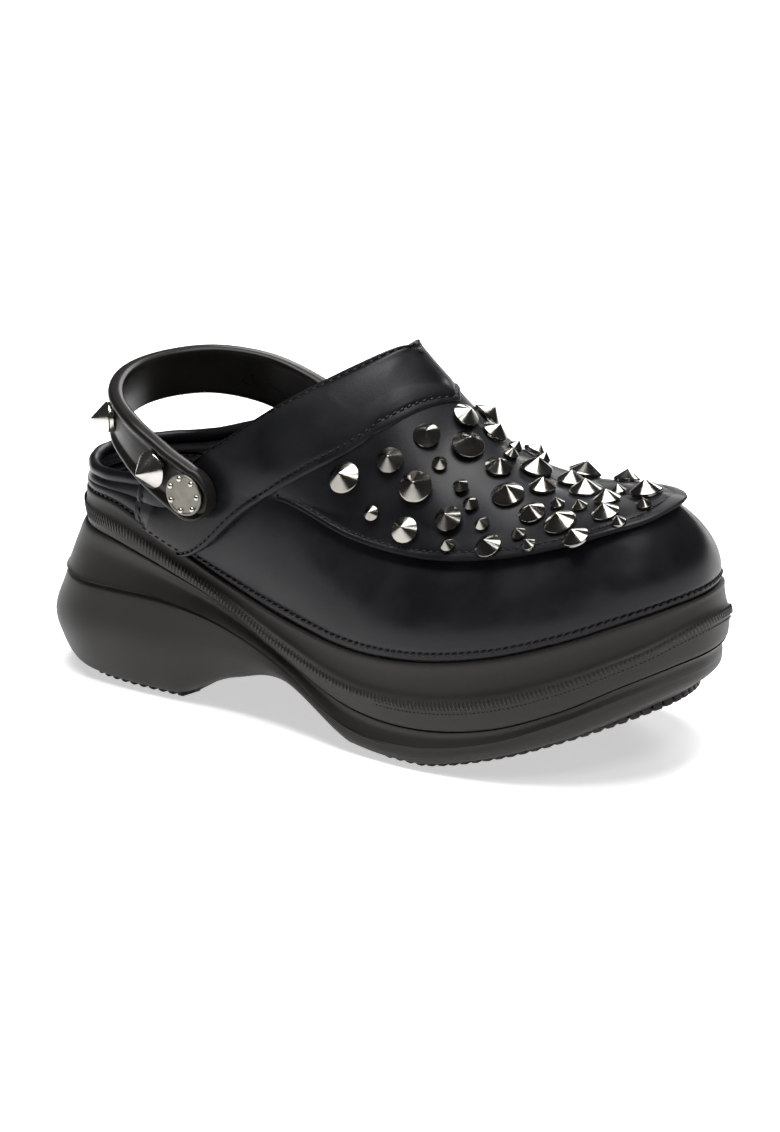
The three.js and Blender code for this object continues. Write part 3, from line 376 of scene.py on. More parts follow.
class Shape:
    """Form of sole and upper round the foot, in millimetres.

    Stations run round the shoe from the heel's tip along the outer side to the toe and back
    along the inner side. Levels run up the upper: 0 at the seam, 1 where the wall turns,
    2 at the topline or the spine of the vamp.
    """

    def __init__(self, sizes: Sizes) -> None:
        """Makes the curves.

        Args:
            sizes: Driving sizes of the shoe.
        """
        self.sizes = sizes
        long, wide = sizes.half_length, sizes.half_ball
        lateral = [(r.along * long, -r.lateral * wide, 0) for r in SOLE]
        medial = [(r.along * long, r.medial * wide, 0) for r in SOLE]
        self._outline = smooth_loop(self._round(lateral, medial))
        table = np.array(SOLE, float)
        stack, bulge = sizes.heel_stack, sizes.heel_bulge
        scales = [stack] * 5 + [bulge] * 5 + [sizes.rim_ridge]
        self._columns = {
            name: smooth_loop(self._round(column[:, None] * scale, column[:, None] * scale))
            for name, column, scale in zip(SoleRow._fields[3:], table.T[3:], scales)
        }
        outer = [self._point(i, r.along, -r.side, r.rise) for i, r in enumerate(LATERAL)]
        inner = [self._point(i, r.along, r.side, r.rise) for i, r in enumerate(MEDIAL)]
        self._edge = smooth_loop(self._round(outer, inner))
        swell = [[(r.bulge * wide, r.crown * wide) for r in side] for side in (LATERAL, MEDIAL)]
        self._swell = smooth_loop(self._round(*swell))
        outer = [self._point(i, r.along, -r.lateral, r.outer) for i, r in enumerate(TOPLINE)]
        inner = [self._point(i, r.along, r.medial, r.inner) for i, r in enumerate(TOPLINE)]
        self._topline = smooth_loop(self._round(outer, inner))
        spine = [self._point(RIDGE + i, r.along, r.side, r.rise) for i, r in enumerate(SPINE)]
        self._spine = smooth_line(spine)

    def _point(self, row: int, along: float, side: float, rise: float) -> tuple[float, float, float]:
        """A point whose height is a rise over the seam at one row of the sole.

        Args:
            row: Row of the sole.
            along: Share of the half length.
            side: Share of the half width.
            rise: Share of the rise.

        Returns:
            The point, in millimetres.
        """
        sizes = self.sizes
        height = SOLE[row].seam * sizes.heel_stack + rise * sizes.rise
        return along * sizes.half_length, side * sizes.half_ball, height

    @staticmethod
    def _round(lateral: Sequence, medial: Sequence) -> list:
        """Rows of both sides as one loop round the shoe."""
        return [*lateral, *list(medial)[1:-1][::-1]]

    def column(self, name: str, station: Points) -> Points:
        """One of the sole's columns at each station."""
        values = self._columns[name](station)[:, 0]
        return np.maximum(values, 0) if name == "tread" else values

    def outward(self, station: Points) -> Points:
        """Outward direction of the outline in plan.

        Args:
            station: Stations round the shoe.

        Returns:
            The directions, of length one.
        """
        step = 0.05
        along = self._outline(station + step) - self._outline(station - step)
        return unit(np.stack([along[:, 1], -along[:, 0], np.zeros(len(along))], 1))

    def ring(self, station: Points, out: Points, height: Points) -> Points:
        """Points standing out from the outline at a height.

        Args:
            station: Stations round the shoe.
            out: How far out, in millimetres.
            height: Heights, in millimetres.

        Returns:
            The points, in millimetres.
        """
        points = self._outline(station) + self.outward(station) * np.asarray(out).reshape(-1, 1)
        points[:, 2] = height
        return points

    def station_at(self, x: Points) -> Points:
        """The station on the outer side at each distance along the shoe.

        Args:
            x: Distances along the shoe, in millimetres.

        Returns:
            The stations.
        """
        places = np.linspace(0, LAST, 600)
        line = np.maximum.accumulate(self._outline(places)[:, 0])
        return np.interp(x, line, places)

    def floor(self, station: Points, out: Points, above: float) -> Points:
        """Points of the underside, whose height follows their distance along the shoe.

        Args:
            station: Stations round the shoe.
            out: How far out from the outline.
            above: How far over the floor line.

        Returns:
            The points, in millimetres.
        """
        points = self.ring(station, out, np.zeros(len(station)))
        points[:, 2] = self.column("tread", self.station_at(points[:, 0])) + above
        return points

    def top(self, station: Points) -> Points:
        """The topline behind the ridge, and the spine of the vamp ahead of it.

        Args:
            station: Stations round the shoe.

        Returns:
            The points, in millimetres.
        """
        row = self.row(station)
        around = np.where(station <= LAST, row, 2 * RIDGE - row)
        return np.where((row >= RIDGE)[:, None], self._spine(row - RIDGE), self._topline(around))

    @staticmethod
    def row(station: Points) -> Points:
        """Row of the tables that a station lies on."""
        return np.where(station <= LAST, station, ROUND - station)

    def upper(self, station: Points, level: Points) -> Points:
        """Points of the upper's outer surface.

        Args:
            station: Stations round the shoe.
            level: Levels up the upper.

        Returns:
            The points, in millimetres.
        """
        seam_height = self.column("seam", station) + self.sizes.clearance
        seam = self.ring(station, np.zeros(len(station)), seam_height)
        edge = self._edge(station)
        swell = self._swell(station)
        bulge, crown = swell[:, :1], swell[:, 1:]
        top = self.top(station)
        chord = top - edge
        flat = np.hypot(chord[:, 0], chord[:, 1])
        lean = -chord[:, :2] * chord[:, 2:] / np.maximum(flat, 1e-9)[:, None]
        rise = unit(np.column_stack([lean, flat]))
        low = (seam + edge) / 2 + self.outward(station) * 2 * bulge
        high = (edge + top) / 2 + rise * 2 * crown
        t = level[:, None]
        wall = seam * (1 - t) ** 2 + low * 2 * t * (1 - t) + edge * t**2
        t = t - 1
        crown_side = edge * (1 - t) ** 2 + high * 2 * t * (1 - t) + top * t**2
        return np.where(level[:, None] <= 1, wall, crown_side)

    def _side_normal(self, station: Points, level: Points, below: Points) -> Points:
        """Normal of the wall, where below holds, or of the top.

        Args:
            station: Stations round the shoe.
            level: Levels up the upper.
            below: Whether the wall is asked for at each place.

        Returns:
            The normals, of length one.
        """
        along_step, level_step, past_turn = 0.04, 0.02, 1.0001
        lowest = np.where(below, 0, past_turn)
        low = np.maximum(level - level_step, lowest)
        high = np.where(below, np.minimum(level + level_step, 1), np.minimum(level + level_step, 2))
        middle = (low + high) / 2
        along = self.upper(np.mod(station + along_step, ROUND), middle)
        along = along - self.upper(np.mod(station - along_step, ROUND), middle)
        up = self.upper(station, high) - self.upper(station, low)
        return unit(np.cross(along, up))

    def _on_spine(self, station: Points, level: Points) -> Points:
        """Whether each place lies on the spine of the vamp, where both sides meet."""
        return (level >= 2 - 1e-6) & (self.row(station) >= RIDGE)

    def normal(self, station: Points, level: Points) -> Points:
        """Outward normal of the upper, soft where wall and top meet.

        Args:
            station: Stations round the shoe.
            level: Levels up the upper.

        Returns:
            The normals, of length one.
        """
        soft = 0.12
        wall = self._side_normal(station, np.minimum(level, 1), np.full(len(level), True))
        top = self._side_normal(station, np.maximum(level, 1), np.full(len(level), False))
        share = smoothstep((level - 1 + soft) / (2 * soft))[:, None]
        normal = unit(mix(wall, top, share))
        on_spine = self._on_spine(station, level)
        across = np.mod(ROUND - station, ROUND)
        other = self._side_normal(across, np.maximum(level, 1), np.full(len(level), False))
        return np.where(on_spine[:, None], unit(normal + other), normal)

    def lifted(self, station: Points, level: Points, lift: Points) -> Points:
        """Points over the upper's surface.

        Args:
            station: Stations round the shoe.
            level: Levels up the upper.
            lift: How far over the upper, in millimetres.

        Returns:
            The points, in millimetres.
        """
        on_spine = self._on_spine(station, level)
        place = np.where(on_spine, self.row(station), station)
        return self.upper(place, level) + self.normal(place, level) * np.asarray(lift).reshape(-1, 1)

    def band_front(self, station: Points) -> Points:
        """Level of the collar band's front edge.

        Args:
            station: Stations round the shoe.

        Returns:
            The levels.
        """
        stations = [r.front for r in BAND]
        levels = [r.front_level for r in BAND]
        return np.interp(self.row(station), stations, levels)


class Slot(Enum):
    """Material slots of the record."""

    LEATHER = "leather"
    FOAM = "foam"
    TREAD = "tread"
    STRAP = "strap"
    LINING = "lining"
    GUNMETAL = "gunmetal"
    NICKEL = "nickel"


class Grain(Enum):
    """Kinds of fine relief."""

    LEATHER = "leather"
    FOAM = "foam"
    CLOTH = "cloth"
    BRUSHED = "brushed"


@dataclass(frozen=True)
class Finish:
    """A surface finish.

    Attributes:
        name: Name of the material.
        colour: Main colour, linear.
        second: Colour it drifts to over the surface.
        rough: Lowest and highest roughness.
        grain: Kind of fine relief.
        grain_size: Size of the grain in millimetres.
        relief: Height of the grain in millimetres.
        metallic: 1 for metal.
        specular: Strength of the gloss on a plain surface.
        sheen: Strength of the soft light along its edges.
        drift: Size in millimetres of the slow changes of colour and gloss.
    """

    name: str
    colour: tuple[float, float, float]
    second: tuple[float, float, float]
    rough: tuple[float, float]
    grain: Grain
    grain_size: float
    relief: float
    metallic: float = 0.0
    specular: float = 0.5
    sheen: float = 0.0
    drift: float = 30.0

    def material(self) -> bpy.types.Material:
        """Builds the material once.

        Returns:
            The material, with its grain read from Object coordinates or the piece's own UV map.
        """
        made = bpy.data.materials.get(self.name)
        if made:
            return made
        made = bpy.data.materials.new(self.name)
        made.use_nodes = True
        tree = made.node_tree
        shader = tree.nodes["Principled BSDF"]
        shader.inputs["Metallic"].default_value = self.metallic
        shader.inputs["Specular IOR Level"].default_value = self.specular
        shader.inputs["Sheen Weight"].default_value = self.sheen
        shader.inputs["Sheen Roughness"].default_value = 0.4
        coordinates = tree.nodes.new("ShaderNodeTexCoord")
        drift = self._noise(tree, coordinates.outputs["Object"], self.drift, 4)
        self._drift(tree, shader, drift)
        height = self._grain(tree, coordinates)
        bump = tree.nodes.new("ShaderNodeBump")
        bump.inputs["Strength"].default_value = 1.0
        bump.inputs["Distance"].default_value = self.relief * MM
        tree.links.new(height, bump.inputs["Height"])
        tree.links.new(bump.outputs["Normal"], shader.inputs["Normal"])
        return made

    @staticmethod
    def _noise(tree: Tree, vector: Socket, size: float, detail: float) -> Socket:
        """Noise whose features are about size millimetres across.

        Args:
            tree: Node tree of the material.
            vector: Where the noise is read.
            size: Size of its features, in millimetres.
            detail: How fine it goes.

        Returns:
            The noise.
        """
        noise = tree.nodes.new("ShaderNodeTexNoise")
        noise.inputs["Scale"].default_value = 1 / (size * MM)
        noise.inputs["Detail"].default_value = detail
        tree.links.new(vector, noise.inputs["Vector"])
        return noise.outputs["Fac"]

    def _drift(self, tree: Tree, shader: bpy.types.Node, drift: Socket) -> None:
        """Lets colour and roughness change slowly over the surface.

        Args:
            tree: Node tree of the material.
            shader: The shader that takes both.
            drift: The slow noise.
        """
        spread = tree.nodes.new("ShaderNodeMapRange")
        spread.inputs["From Min"].default_value = 0.35
        spread.inputs["From Max"].default_value = 0.65
        tree.links.new(drift, spread.inputs["Value"])
        colour = tree.nodes.new("ShaderNodeMix")
        colour.data_type = "RGBA"
        colour.inputs[6].default_value = (*self.colour, 1)
        colour.inputs[7].default_value = (*self.second, 1)
        tree.links.new(spread.outputs["Result"], colour.inputs["Factor"])
        tree.links.new(colour.outputs[2], shader.inputs["Base Color"])
        rough = tree.nodes.new("ShaderNodeMapRange")
        rough.inputs["To Min"].default_value = self.rough[0]
        rough.inputs["To Max"].default_value = self.rough[1]
        tree.links.new(spread.outputs["Result"], rough.inputs["Value"])
        tree.links.new(rough.outputs["Result"], shader.inputs["Roughness"])

    def _grain(self, tree: Tree, coordinates: bpy.types.Node) -> Socket:
        """Height of the fine relief.

        Args:
            tree: Node tree of the material.
            coordinates: The coordinates node.

        Returns:
            The height.
        """
        place = coordinates.outputs["Object"]
        if self.grain is Grain.BRUSHED:
            stretch = tree.nodes.new("ShaderNodeMapping")
            stretch.inputs["Scale"].default_value = (260, 3, 1)
            tree.links.new(coordinates.outputs["UV"], stretch.inputs["Vector"])
            return self._noise(tree, stretch.outputs["Vector"], 1 / MM, 2)
        if self.grain is Grain.CLOTH:
            weave = [self._wave(tree, place, direction) for direction in ("X", "Y")]
            return self._mean(tree, *weave)
        fine = self._noise(tree, place, self.grain_size, 3)
        if self.grain is Grain.LEATHER:
            cells = tree.nodes.new("ShaderNodeTexVoronoi")
            cells.inputs["Scale"].default_value = 1 / (1.6 * self.grain_size * MM)
            cells.inputs["Randomness"].default_value = 1.0
            tree.links.new(place, cells.inputs["Vector"])
            return self._mean(tree, fine, cells.outputs["Distance"])
        return fine

    def _wave(self, tree: Tree, place: Socket, direction: str) -> Socket:
        """Threads running one way.

        Args:
            tree: Node tree of the material.
            place: Where the wave is read.
            direction: X or Y.

        Returns:
            The height.
        """
        wave = tree.nodes.new("ShaderNodeTexWave")
        wave.bands_direction = direction
        wave.inputs["Scale"].default_value = TAU / 10 / (self.grain_size * MM) / 2
        wave.inputs["Distortion"].default_value = 1.0
        tree.links.new(place, wave.inputs["Vector"])
        return wave.outputs["Fac"]

    @staticmethod
    def _mean(tree: Tree, a: Socket, b: Socket) -> Socket:
        """Mean of two heights.

        Args:
            tree: Node tree of the material.
            a: The first height.
            b: The second height.

        Returns:
            The mean.
        """
        blend = tree.nodes.new("ShaderNodeMix")
        blend.inputs["Factor"].default_value = 0.5
        tree.links.new(a, blend.inputs["A"])
        tree.links.new(b, blend.inputs["B"])
        return blend.outputs["Result"]


LEATHER = Finish(
    "smooth_leather", (0.0054, 0.0057, 0.0068), (0.0092, 0.0096, 0.0112), (0.31, 0.43), Grain.LEATHER,
    0.5, 0.035, specular=0.17, drift=18,
)
LEATHER_EDGE = Finish(
    "cut_leather_edge", (0.0042, 0.0042, 0.0046), (0.008, 0.008, 0.0086), (0.6, 0.75), Grain.FOAM,
    0.5, 0.09, specular=0.12, drift=8,
)
FOAM = Finish(
    "moulded_foam", (0.0135, 0.0127, 0.0112), (0.0175, 0.0166, 0.0147), (0.46, 0.56), Grain.FOAM,
    0.32, 0.03, specular=0.22, sheen=0.02, drift=40,
)
# The midsole's foam made lighter for the ribs and dots on the rim's crest: a painted highlight where the
# top light falls.
RIB_FOAM_PAINTED_HIGHLIGHT = Finish(
    "ribbed_foam_painted_highlight", (0.0155, 0.0147, 0.013), (0.021, 0.02, 0.018), (0.38, 0.48), Grain.FOAM,
    0.3, 0.02, specular=0.3, drift=12,
)
RUBBER = Finish(
    "tread_rubber", (0.013, 0.0122, 0.0108), (0.017, 0.016, 0.0142), (0.5, 0.62), Grain.FOAM,
    0.4, 0.04, specular=0.22, drift=18,
)
STRAP_FOAM = Finish(
    "satin_foam", (0.0075, 0.0071, 0.0062), (0.0108, 0.0102, 0.009), (0.27, 0.35), Grain.FOAM,
    0.3, 0.015, specular=0.15, drift=24,
)
LINING = Finish(
    "smooth_lining", (0.075, 0.077, 0.083), (0.1, 0.102, 0.11), (0.34, 0.46), Grain.LEATHER,
    0.9, 0.05, specular=0.5, sheen=0.06, drift=20,
)
FOOTBED = Finish(
    "footbed_cloth", (0.017, 0.017, 0.018), (0.026, 0.026, 0.028), (0.75, 0.9), Grain.CLOTH,
    0.7, 0.12, specular=0.3, sheen=0.2, drift=30,
)
THREAD = Finish(
    "waxed_thread", (0.0025, 0.0025, 0.0028), (0.005, 0.005, 0.0055), (0.35, 0.5), Grain.FOAM,
    0.2, 0.03, specular=0.25, drift=4,
)
DARK_NICKEL = Finish(
    "dark_nickel", (0.22, 0.209, 0.19), (0.32, 0.304, 0.277), (0.12, 0.19), Grain.BRUSHED,
    0.3, 0.012, metallic=1.0, drift=9,
)
BRIGHT_NICKEL = Finish(
    "bright_nickel", (0.4, 0.385, 0.36), (0.5, 0.485, 0.455), (0.13, 0.2), Grain.BRUSHED,
    0.3, 0.012, metallic=1.0, drift=9,
)
SATIN_NICKEL = Finish(
    "satin_nickel", (0.13, 0.123, 0.105), (0.18, 0.17, 0.147), (0.34, 0.44), Grain.FOAM,
    0.15, 0.012, metallic=1.0, drift=5,
)


class Workshop:
    """Turns meshes into pieces that ride on the shoe."""

    def __init__(self, shape: Shape, shift: Vector) -> None:
        """Keeps the form and its place.

        Args:
            shape: Form of the shoe.
            shift: From the form's own origin to the frame's, in millimetres.
        """
        self.shape = shape
        self.shift = np.array(shift)

    def metres(self, points: Points) -> Points:
        """Points of the form in the frame, in metres."""
        return (points + self.shift) * MM

    def millimetres(self, points: Points) -> Points:
        """Points of the frame in the form's own place."""
        return np.asarray(points) / MM - self.shift

    @property
    def sizes(self) -> Sizes:
        """Driving sizes of the shoe."""
        return self.shape.sizes

    def sheet(self, columns: int, rows: int, surface: Surface) -> Mesh:
        """A fine sheet laid on a surface.

        Args:
            columns: Faces along the first direction.
            rows: Faces along the second direction.
            surface: Points in millimetres for two arrays of shares from 0 to 1.

        Returns:
            The sheet, in metres, with its doubles merged.
        """
        mesh = bmesh.new()
        uv = mesh.loops.layers.uv.new("UVMap")
        bmesh.ops.create_grid(mesh, x_segments=columns, y_segments=rows, size=0.5)
        shares = np.array([v.co for v in mesh.verts])[:, :2] + 0.5
        for face in mesh.faces:
            for loop in face.loops:
                at = loop.vert.co
                loop[uv].uv = (at.x + 0.5, at.y + 0.5)
        places = self.metres(surface(shares[:, 0], shares[:, 1]))
        for vert, place in zip(mesh.verts, places):
            vert.co = place
        bmesh.ops.remove_doubles(mesh, verts=mesh.verts, dist=2e-6)
        return mesh

    def piece(
        self,
        name: str,
        mesh: Mesh,
        finishes: Finish | Sequence[Finish],
        slot: Slot,
        nodes: Sequence[str] = (),
        sharp: float = 40,
    ) -> None:
        """Makes a mesh a piece of the shoe.

        Args:
            name: Name of the piece.
            mesh: The mesh, in the frame's place.
            finishes: Its finish, or one for each material index of its faces.
            slot: The record's slot for its finish; not used.
            nodes: Solids it stands for.
            sharp: Edges that turn by more degrees than this stay sharp.
        """
        bmesh.ops.recalc_face_normals(mesh, faces=mesh.faces)
        data = bpy.data.meshes.new(name)
        mesh.to_mesh(data)
        mesh.free()
        for finish in [finishes] if isinstance(finishes, Finish) else finishes:
            data.materials.append(finish.material())
        data.shade_smooth()
        data.set_sharp_from_angle(angle=math.radians(sharp))
        made = bpy.data.objects.new(name, data)
        bpy.context.scene.collection.objects.link(made)
        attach(made, "root")
        if nodes:
            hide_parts(*nodes)
        LOG.info("%s: %d faces", name, len(data.polygons))


def join(mesh: Mesh, other: Mesh) -> None:
    """Adds another mesh to this one and frees it.

    Args:
        mesh: Mesh that takes the other.
        other: Mesh that is freed.
    """
    data = bpy.data.meshes.new("joined")
    other.to_mesh(data)
    other.free()
    mesh.from_mesh(data)
    bpy.data.meshes.remove(data)


def close_ends(mesh: Mesh) -> None:
    """Fills the open ends of a tube."""
    bmesh.ops.holes_fill(mesh, edges=[e for e in mesh.edges if e.is_boundary], sides=0)


def steps_along(points: Points) -> Points:
    """How far each point of a path lies from its start."""
    return np.concatenate([[0], np.cumsum(np.linalg.norm(np.diff(points, axis=0), axis=1))])


def walk(points: Points, pitch: float) -> Points:
    """Even steps along a path.

    Args:
        points: The path.
        pitch: Length of a step.

    Returns:
        Positions along the path's points, as fractions of an index.
    """
    lengths = steps_along(points)
    count = max(int(lengths[-1] / pitch), 1)
    stops = (np.arange(count) + 0.5) * lengths[-1] / count
    return np.interp(stops, lengths, np.arange(len(points)))


def spread(table: Points, positions: Points) -> list[Points]:
    """The three columns of a table at fractions of an index."""
    return [np.interp(positions, np.arange(len(table)), table[:, k]) for k in range(3)]


def along_path(points: Points, positions: Points) -> Points:
    """Points of a path at fractions of an index."""
    return np.stack(spread(points, positions), 1)


def lay(
    mesh: Mesh, spot: Points, axis: Points, normal: Points, size: Points, slant: float, sides: int
) -> None:
    """Adds a slanted ellipsoid lying on a surface.

    Args:
        mesh: Mesh that takes it, in metres.
        spot: Its centre.
        axis: Direction of its row.
        normal: Outward direction there.
        size: Its half sizes along the row, across it and outwards, in millimetres.
        slant: How far it turns from the row, in degrees.
        sides: Faces round it.
    """
    axis, normal = Vector(axis).normalized(), Vector(normal)
    normal = (normal - axis * normal.dot(axis)).normalized()
    turn = Matrix((axis, normal.cross(axis), normal)).transposed().to_4x4()
    turn = turn @ Matrix.Rotation(math.radians(slant), 4, "Z")
    place = Matrix.Translation(Vector(spot)) @ turn @ Matrix.Diagonal((*(s * MM for s in size), 1))
    bmesh.ops.create_uvsphere(mesh, u_segments=sides, v_segments=sides - 2, radius=1, matrix=place)


@dataclass(frozen=True)
class Seam:
    """A row of stitches.

    Attributes:
        pitch: From one stitch to the next, in millimetres.
        length: Length of a stitch.
        width: Thickness of its thread.
        slant: How far it turns from the row, in degrees.
    """

    pitch: float
    length: float
    width: float
    slant: float

    def sew(self, mesh: Mesh, points: Points, normals: Points) -> None:
        """Adds stitches to a mesh.

        Args:
            mesh: Mesh that takes the stitches, in metres.
            points: Path of the row, in the frame, in metres.
            normals: Outward directions along it.
        """
        positions = walk(points, self.pitch * MM)
        spots = along_path(points, positions)
        ups = unit(along_path(normals, positions))
        ahead = unit(along_path(points, positions + 0.5) - along_path(points, positions - 0.5))
        size = (self.length / 2, self.width / 2, self.width / 2)
        for spot, up, way in zip(spots, ups, ahead):
            lay(mesh, spot, way, up, size, self.slant, 8)


class Crease(NamedTuple):
    """A soft trough in the leather, or a swelling where its depth is below zero.

    Its ends are a station and a level each. Width and depth are in millimetres.
    """

    start: tuple[float, float]
    end: tuple[float, float]
    width: float
    depth: float


def sunk(station: Points, level: Points, creases: Sequence[Crease]) -> Points:
    """How far each place of the upper sinks into the creases, in millimetres.

    Args:
        station: Stations round the shoe.
        level: Levels up the upper.
        creases: Creases of the leather.

    Returns:
        The depth at each place.
    """
    station_span, level_span = 25, 40
    place = np.stack([station * station_span, level * level_span], 1)
    span = np.array([station_span, level_span])
    depth = np.zeros(len(place))
    for crease in creases:
        start, end = np.array(crease.start) * span, np.array(crease.end) * span
        way = end - start
        share = np.clip(((place - start) @ way) / (way @ way), 0, 1)
        off = np.linalg.norm(place - start - share[:, None] * way, axis=1)
        depth += crease.depth * np.exp(-((off / crease.width) ** 2))
    return depth


class Ring(NamedTuple):
    """One ring of the midsole's side.

    low and high name the heights it lies between, share how far up. out and to name the
    columns it stands out by, and lean how far it goes from the first to the second. push is
    added in millimetres, up to the row of the tables that until gives.
    """

    low: str
    high: str
    share: float
    out: str
    to: str
    lean: float
    push: float = 0.0
    until: float = 99


@dataclass
class Sole:
    """Midsole, its ribbed rim and the panel line of its heel."""

    shop: Workshop
    columns: int = 416
    between: int = 5
    recess_rows: int = 10
    across_rows: int = 24
    skirt_depth: float = 3
    rib_pitch: float = 1.7
    rib_lengths: tuple[float, float] = (7.5, 3.6)
    rib_width: float = 0.8
    rib_height: float = 0.32
    rib_slant: float = 20
    rib_ring: float = 13.8
    crest_row: float = 11
    crest: float = 0.7
    heel_wall: tuple[float, float] = (3.8, 1.2)
    fore_wall: tuple[float, float] = (6.4, 1.2)
    toe_wall: tuple[float, float] = (10, 2)
    toe_share: float = 0.45
    dot: float = 0.42
    dot_start: float = 7.5

    RINGS = (
        Ring("base", "strip", 0.0, "foot", "foot", 0),
        Ring("base", "strip", 0.08, "foot", "low", 0.7),
        Ring("base", "strip", 0.28, "low", "bulge", 0.4),
        Ring("base", "strip", 0.55, "bulge", "bulge", 0),
        Ring("base", "strip", 0.86, "strake", "bulge", 0.25),
        Ring("base", "strip", 0.97, "strake", "strake", 0, -0.15, 6),
        Ring("strip", "groove", 0.0, "strake", "strake", 0, -1.1, 6),
        Ring("strip", "groove", 0.045, "strake", "strake", 0, 0.1, 6),
        Ring("strip", "groove", 0.15, "strake", "panel", 0.25),
        Ring("strip", "groove", 0.6, "panel", "panel", 0),
        Ring("strip", "groove", 0.93, "panel", "lobe", 0.75),
        Ring("strip", "groove", 0.99, "none", "lobe", 0.5, -0.1),
        Ring("groove", "seam", 0.05, "ridge", "lobe", 0.5, -0.2),
        Ring("groove", "seam", 0.32, "ridge", "ridge", 0, 0.3),
        Ring("groove", "seam", 0.44, "ridge", "ridge", 0, 0.8),
        Ring("groove", "seam", 0.54, "ridge", "lobe", 0.7, -0.2),
        Ring("groove", "seam", 0.78, "lobe", "lobe", 0, -0.8),
        Ring("groove", "seam", 0.96, "none", "lobe", 0.6),
        Ring("groove", "seam", 1.0, "none", "none", 0),
    )
    SHARP = (5, 6, 7, 11, 18)

    def _column(self, name: str, station: Points) -> Points:
        """A height or reach of the side by its name.

        Args:
            name: A column of the sole, or base, lobe or none.
            station: Stations round the shoe.

        Returns:
            Its values, in millimetres.
        """
        shape, sizes = self.shop.shape, self.shop.sizes
        if name == "base":
            return shape.column("tread", station) + sizes.tread - self.skirt(station)
        if name == "lobe":
            return np.full(len(station), sizes.rim_lobe)
        if name == "none":
            return np.zeros(len(station))
        return shape.column(name, station)

    def ring(self, index: int, station: Points) -> Points:
        """Points of one ring at each station.

        Args:
            index: Number of the ring.
            station: Stations round the shoe.

        Returns:
            The points, in millimetres.
        """
        ring = self.RINGS[index]
        shape, sizes = self.shop.shape, self.shop.sizes
        row = shape.row(station)
        push = ring.push * (1 - smoothstep((row - ring.until) / 2))
        out = mix(self._column(ring.out, station), self._column(ring.to, station), ring.lean) + push
        if index == 0:
            points = shape.floor(station, out, sizes.tread)
            points[:, 2] -= self.skirt(station)
            return points
        share = ring.share
        if ring.low == "groove":
            share += self.crest * share * (1 - share) * smoothstep((row - self.crest_row) / 2)
        height = mix(self._column(ring.low, station), self._column(ring.high, station), share)
        return shape.ring(station, out, height)

    def skirt(self, station: Points) -> Points:
        """How far the wall reaches down round the treads.

        Args:
            station: Stations round the shoe.

        Returns:
            The depths, in millimetres.
        """
        row = self.shop.shape.row(station)
        spans = (self.heel_wall, self.fore_wall, self.toe_wall)
        heel, fore, toe = (smoothstep((row - first) / span) for first, span in spans)
        return self.skirt_depth * (1 - heel + fore * mix(1, self.toe_share, toe))

    def side(self, station: Points, position: Points) -> Points:
        """Points of the side, smooth between its sharp lines.

        Args:
            station: Stations round the shoe.
            position: Positions among the rings, from the floor up.

        Returns:
            The points, in millimetres.
        """
        rings = np.stack([self.ring(i, station) for i in range(len(self.RINGS))])
        index = np.minimum(position.astype(int), len(self.RINGS) - 2)
        pick = np.arange(len(station))
        first, last = rings[index, pick], rings[index + 1, pick]
        sharp = np.isin(index, self.SHARP)[:, None]
        starts = sharp | (index == 0)[:, None]
        before = np.where(starts, 2 * first - last, rings[np.maximum(index - 1, 0), pick])
        ends = np.isin(index + 1, self.SHARP)[:, None]
        after = np.where(ends, 2 * last - first, rings[np.minimum(index + 2, len(self.RINGS) - 1), pick])
        return cubic(before, first, last, after, position - index)

    def build(self) -> None:
        """Midsole with its closed floor and footbed recess, and the ribs of its rim."""
        shape, sizes = self.shop.shape, self.shop.sizes
        last = len(self.RINGS) - 1

        def surface(u: Points, v: Points) -> Points:
            """The whole side as one sheet."""
            return self.side(u * ROUND % ROUND, v * last)

        def recess(u: Points, v: Points) -> Points:
            """The wall of the footbed's recess, from the seam down to the bed.

            Args:
                u: Shares along the first direction.
                v: Shares along the second direction.

            Returns:
                The points, in millimetres.
            """
            station = u * ROUND % ROUND
            out = np.where(v < 0.5 / self.recess_rows, 0, -sizes.wall - sizes.rim_ledge)
            seam = shape.column("seam", station)
            return shape.ring(station, out, seam - smoothstep(v) * shape.column("bed", station))

        mesh = self.shop.sheet(self.columns, last * self.between, surface)
        self._close(mesh, lambda station: self.ring(0, station))
        join(mesh, self.shop.sheet(self.columns, self.recess_rows, recess))
        self._close(mesh, lambda station: recess(station / ROUND, np.ones(len(station))))
        self.shop.piece("midsole_foam", mesh, FOAM, Slot.FOAM, ["midsole"], sharp=32)
        self._ribs()

    def _close(self, mesh: Mesh, rim: Callable[[Points], Points]) -> None:
        """Closes an opening of the midsole from side to side.

        Args:
            mesh: The midsole so far.
            rim: The opening's edge at each station.
        """

        def across(u: Points, v: Points) -> Points:
            """From the outer side to the inner side."""
            station = u * LAST
            return mix(rim(station), rim((ROUND - station) % ROUND), v[:, None])

        join(mesh, self.shop.sheet(self.columns // 2, self.across_rows, across))
        bmesh.ops.remove_doubles(mesh, verts=mesh.verts, dist=4e-6)

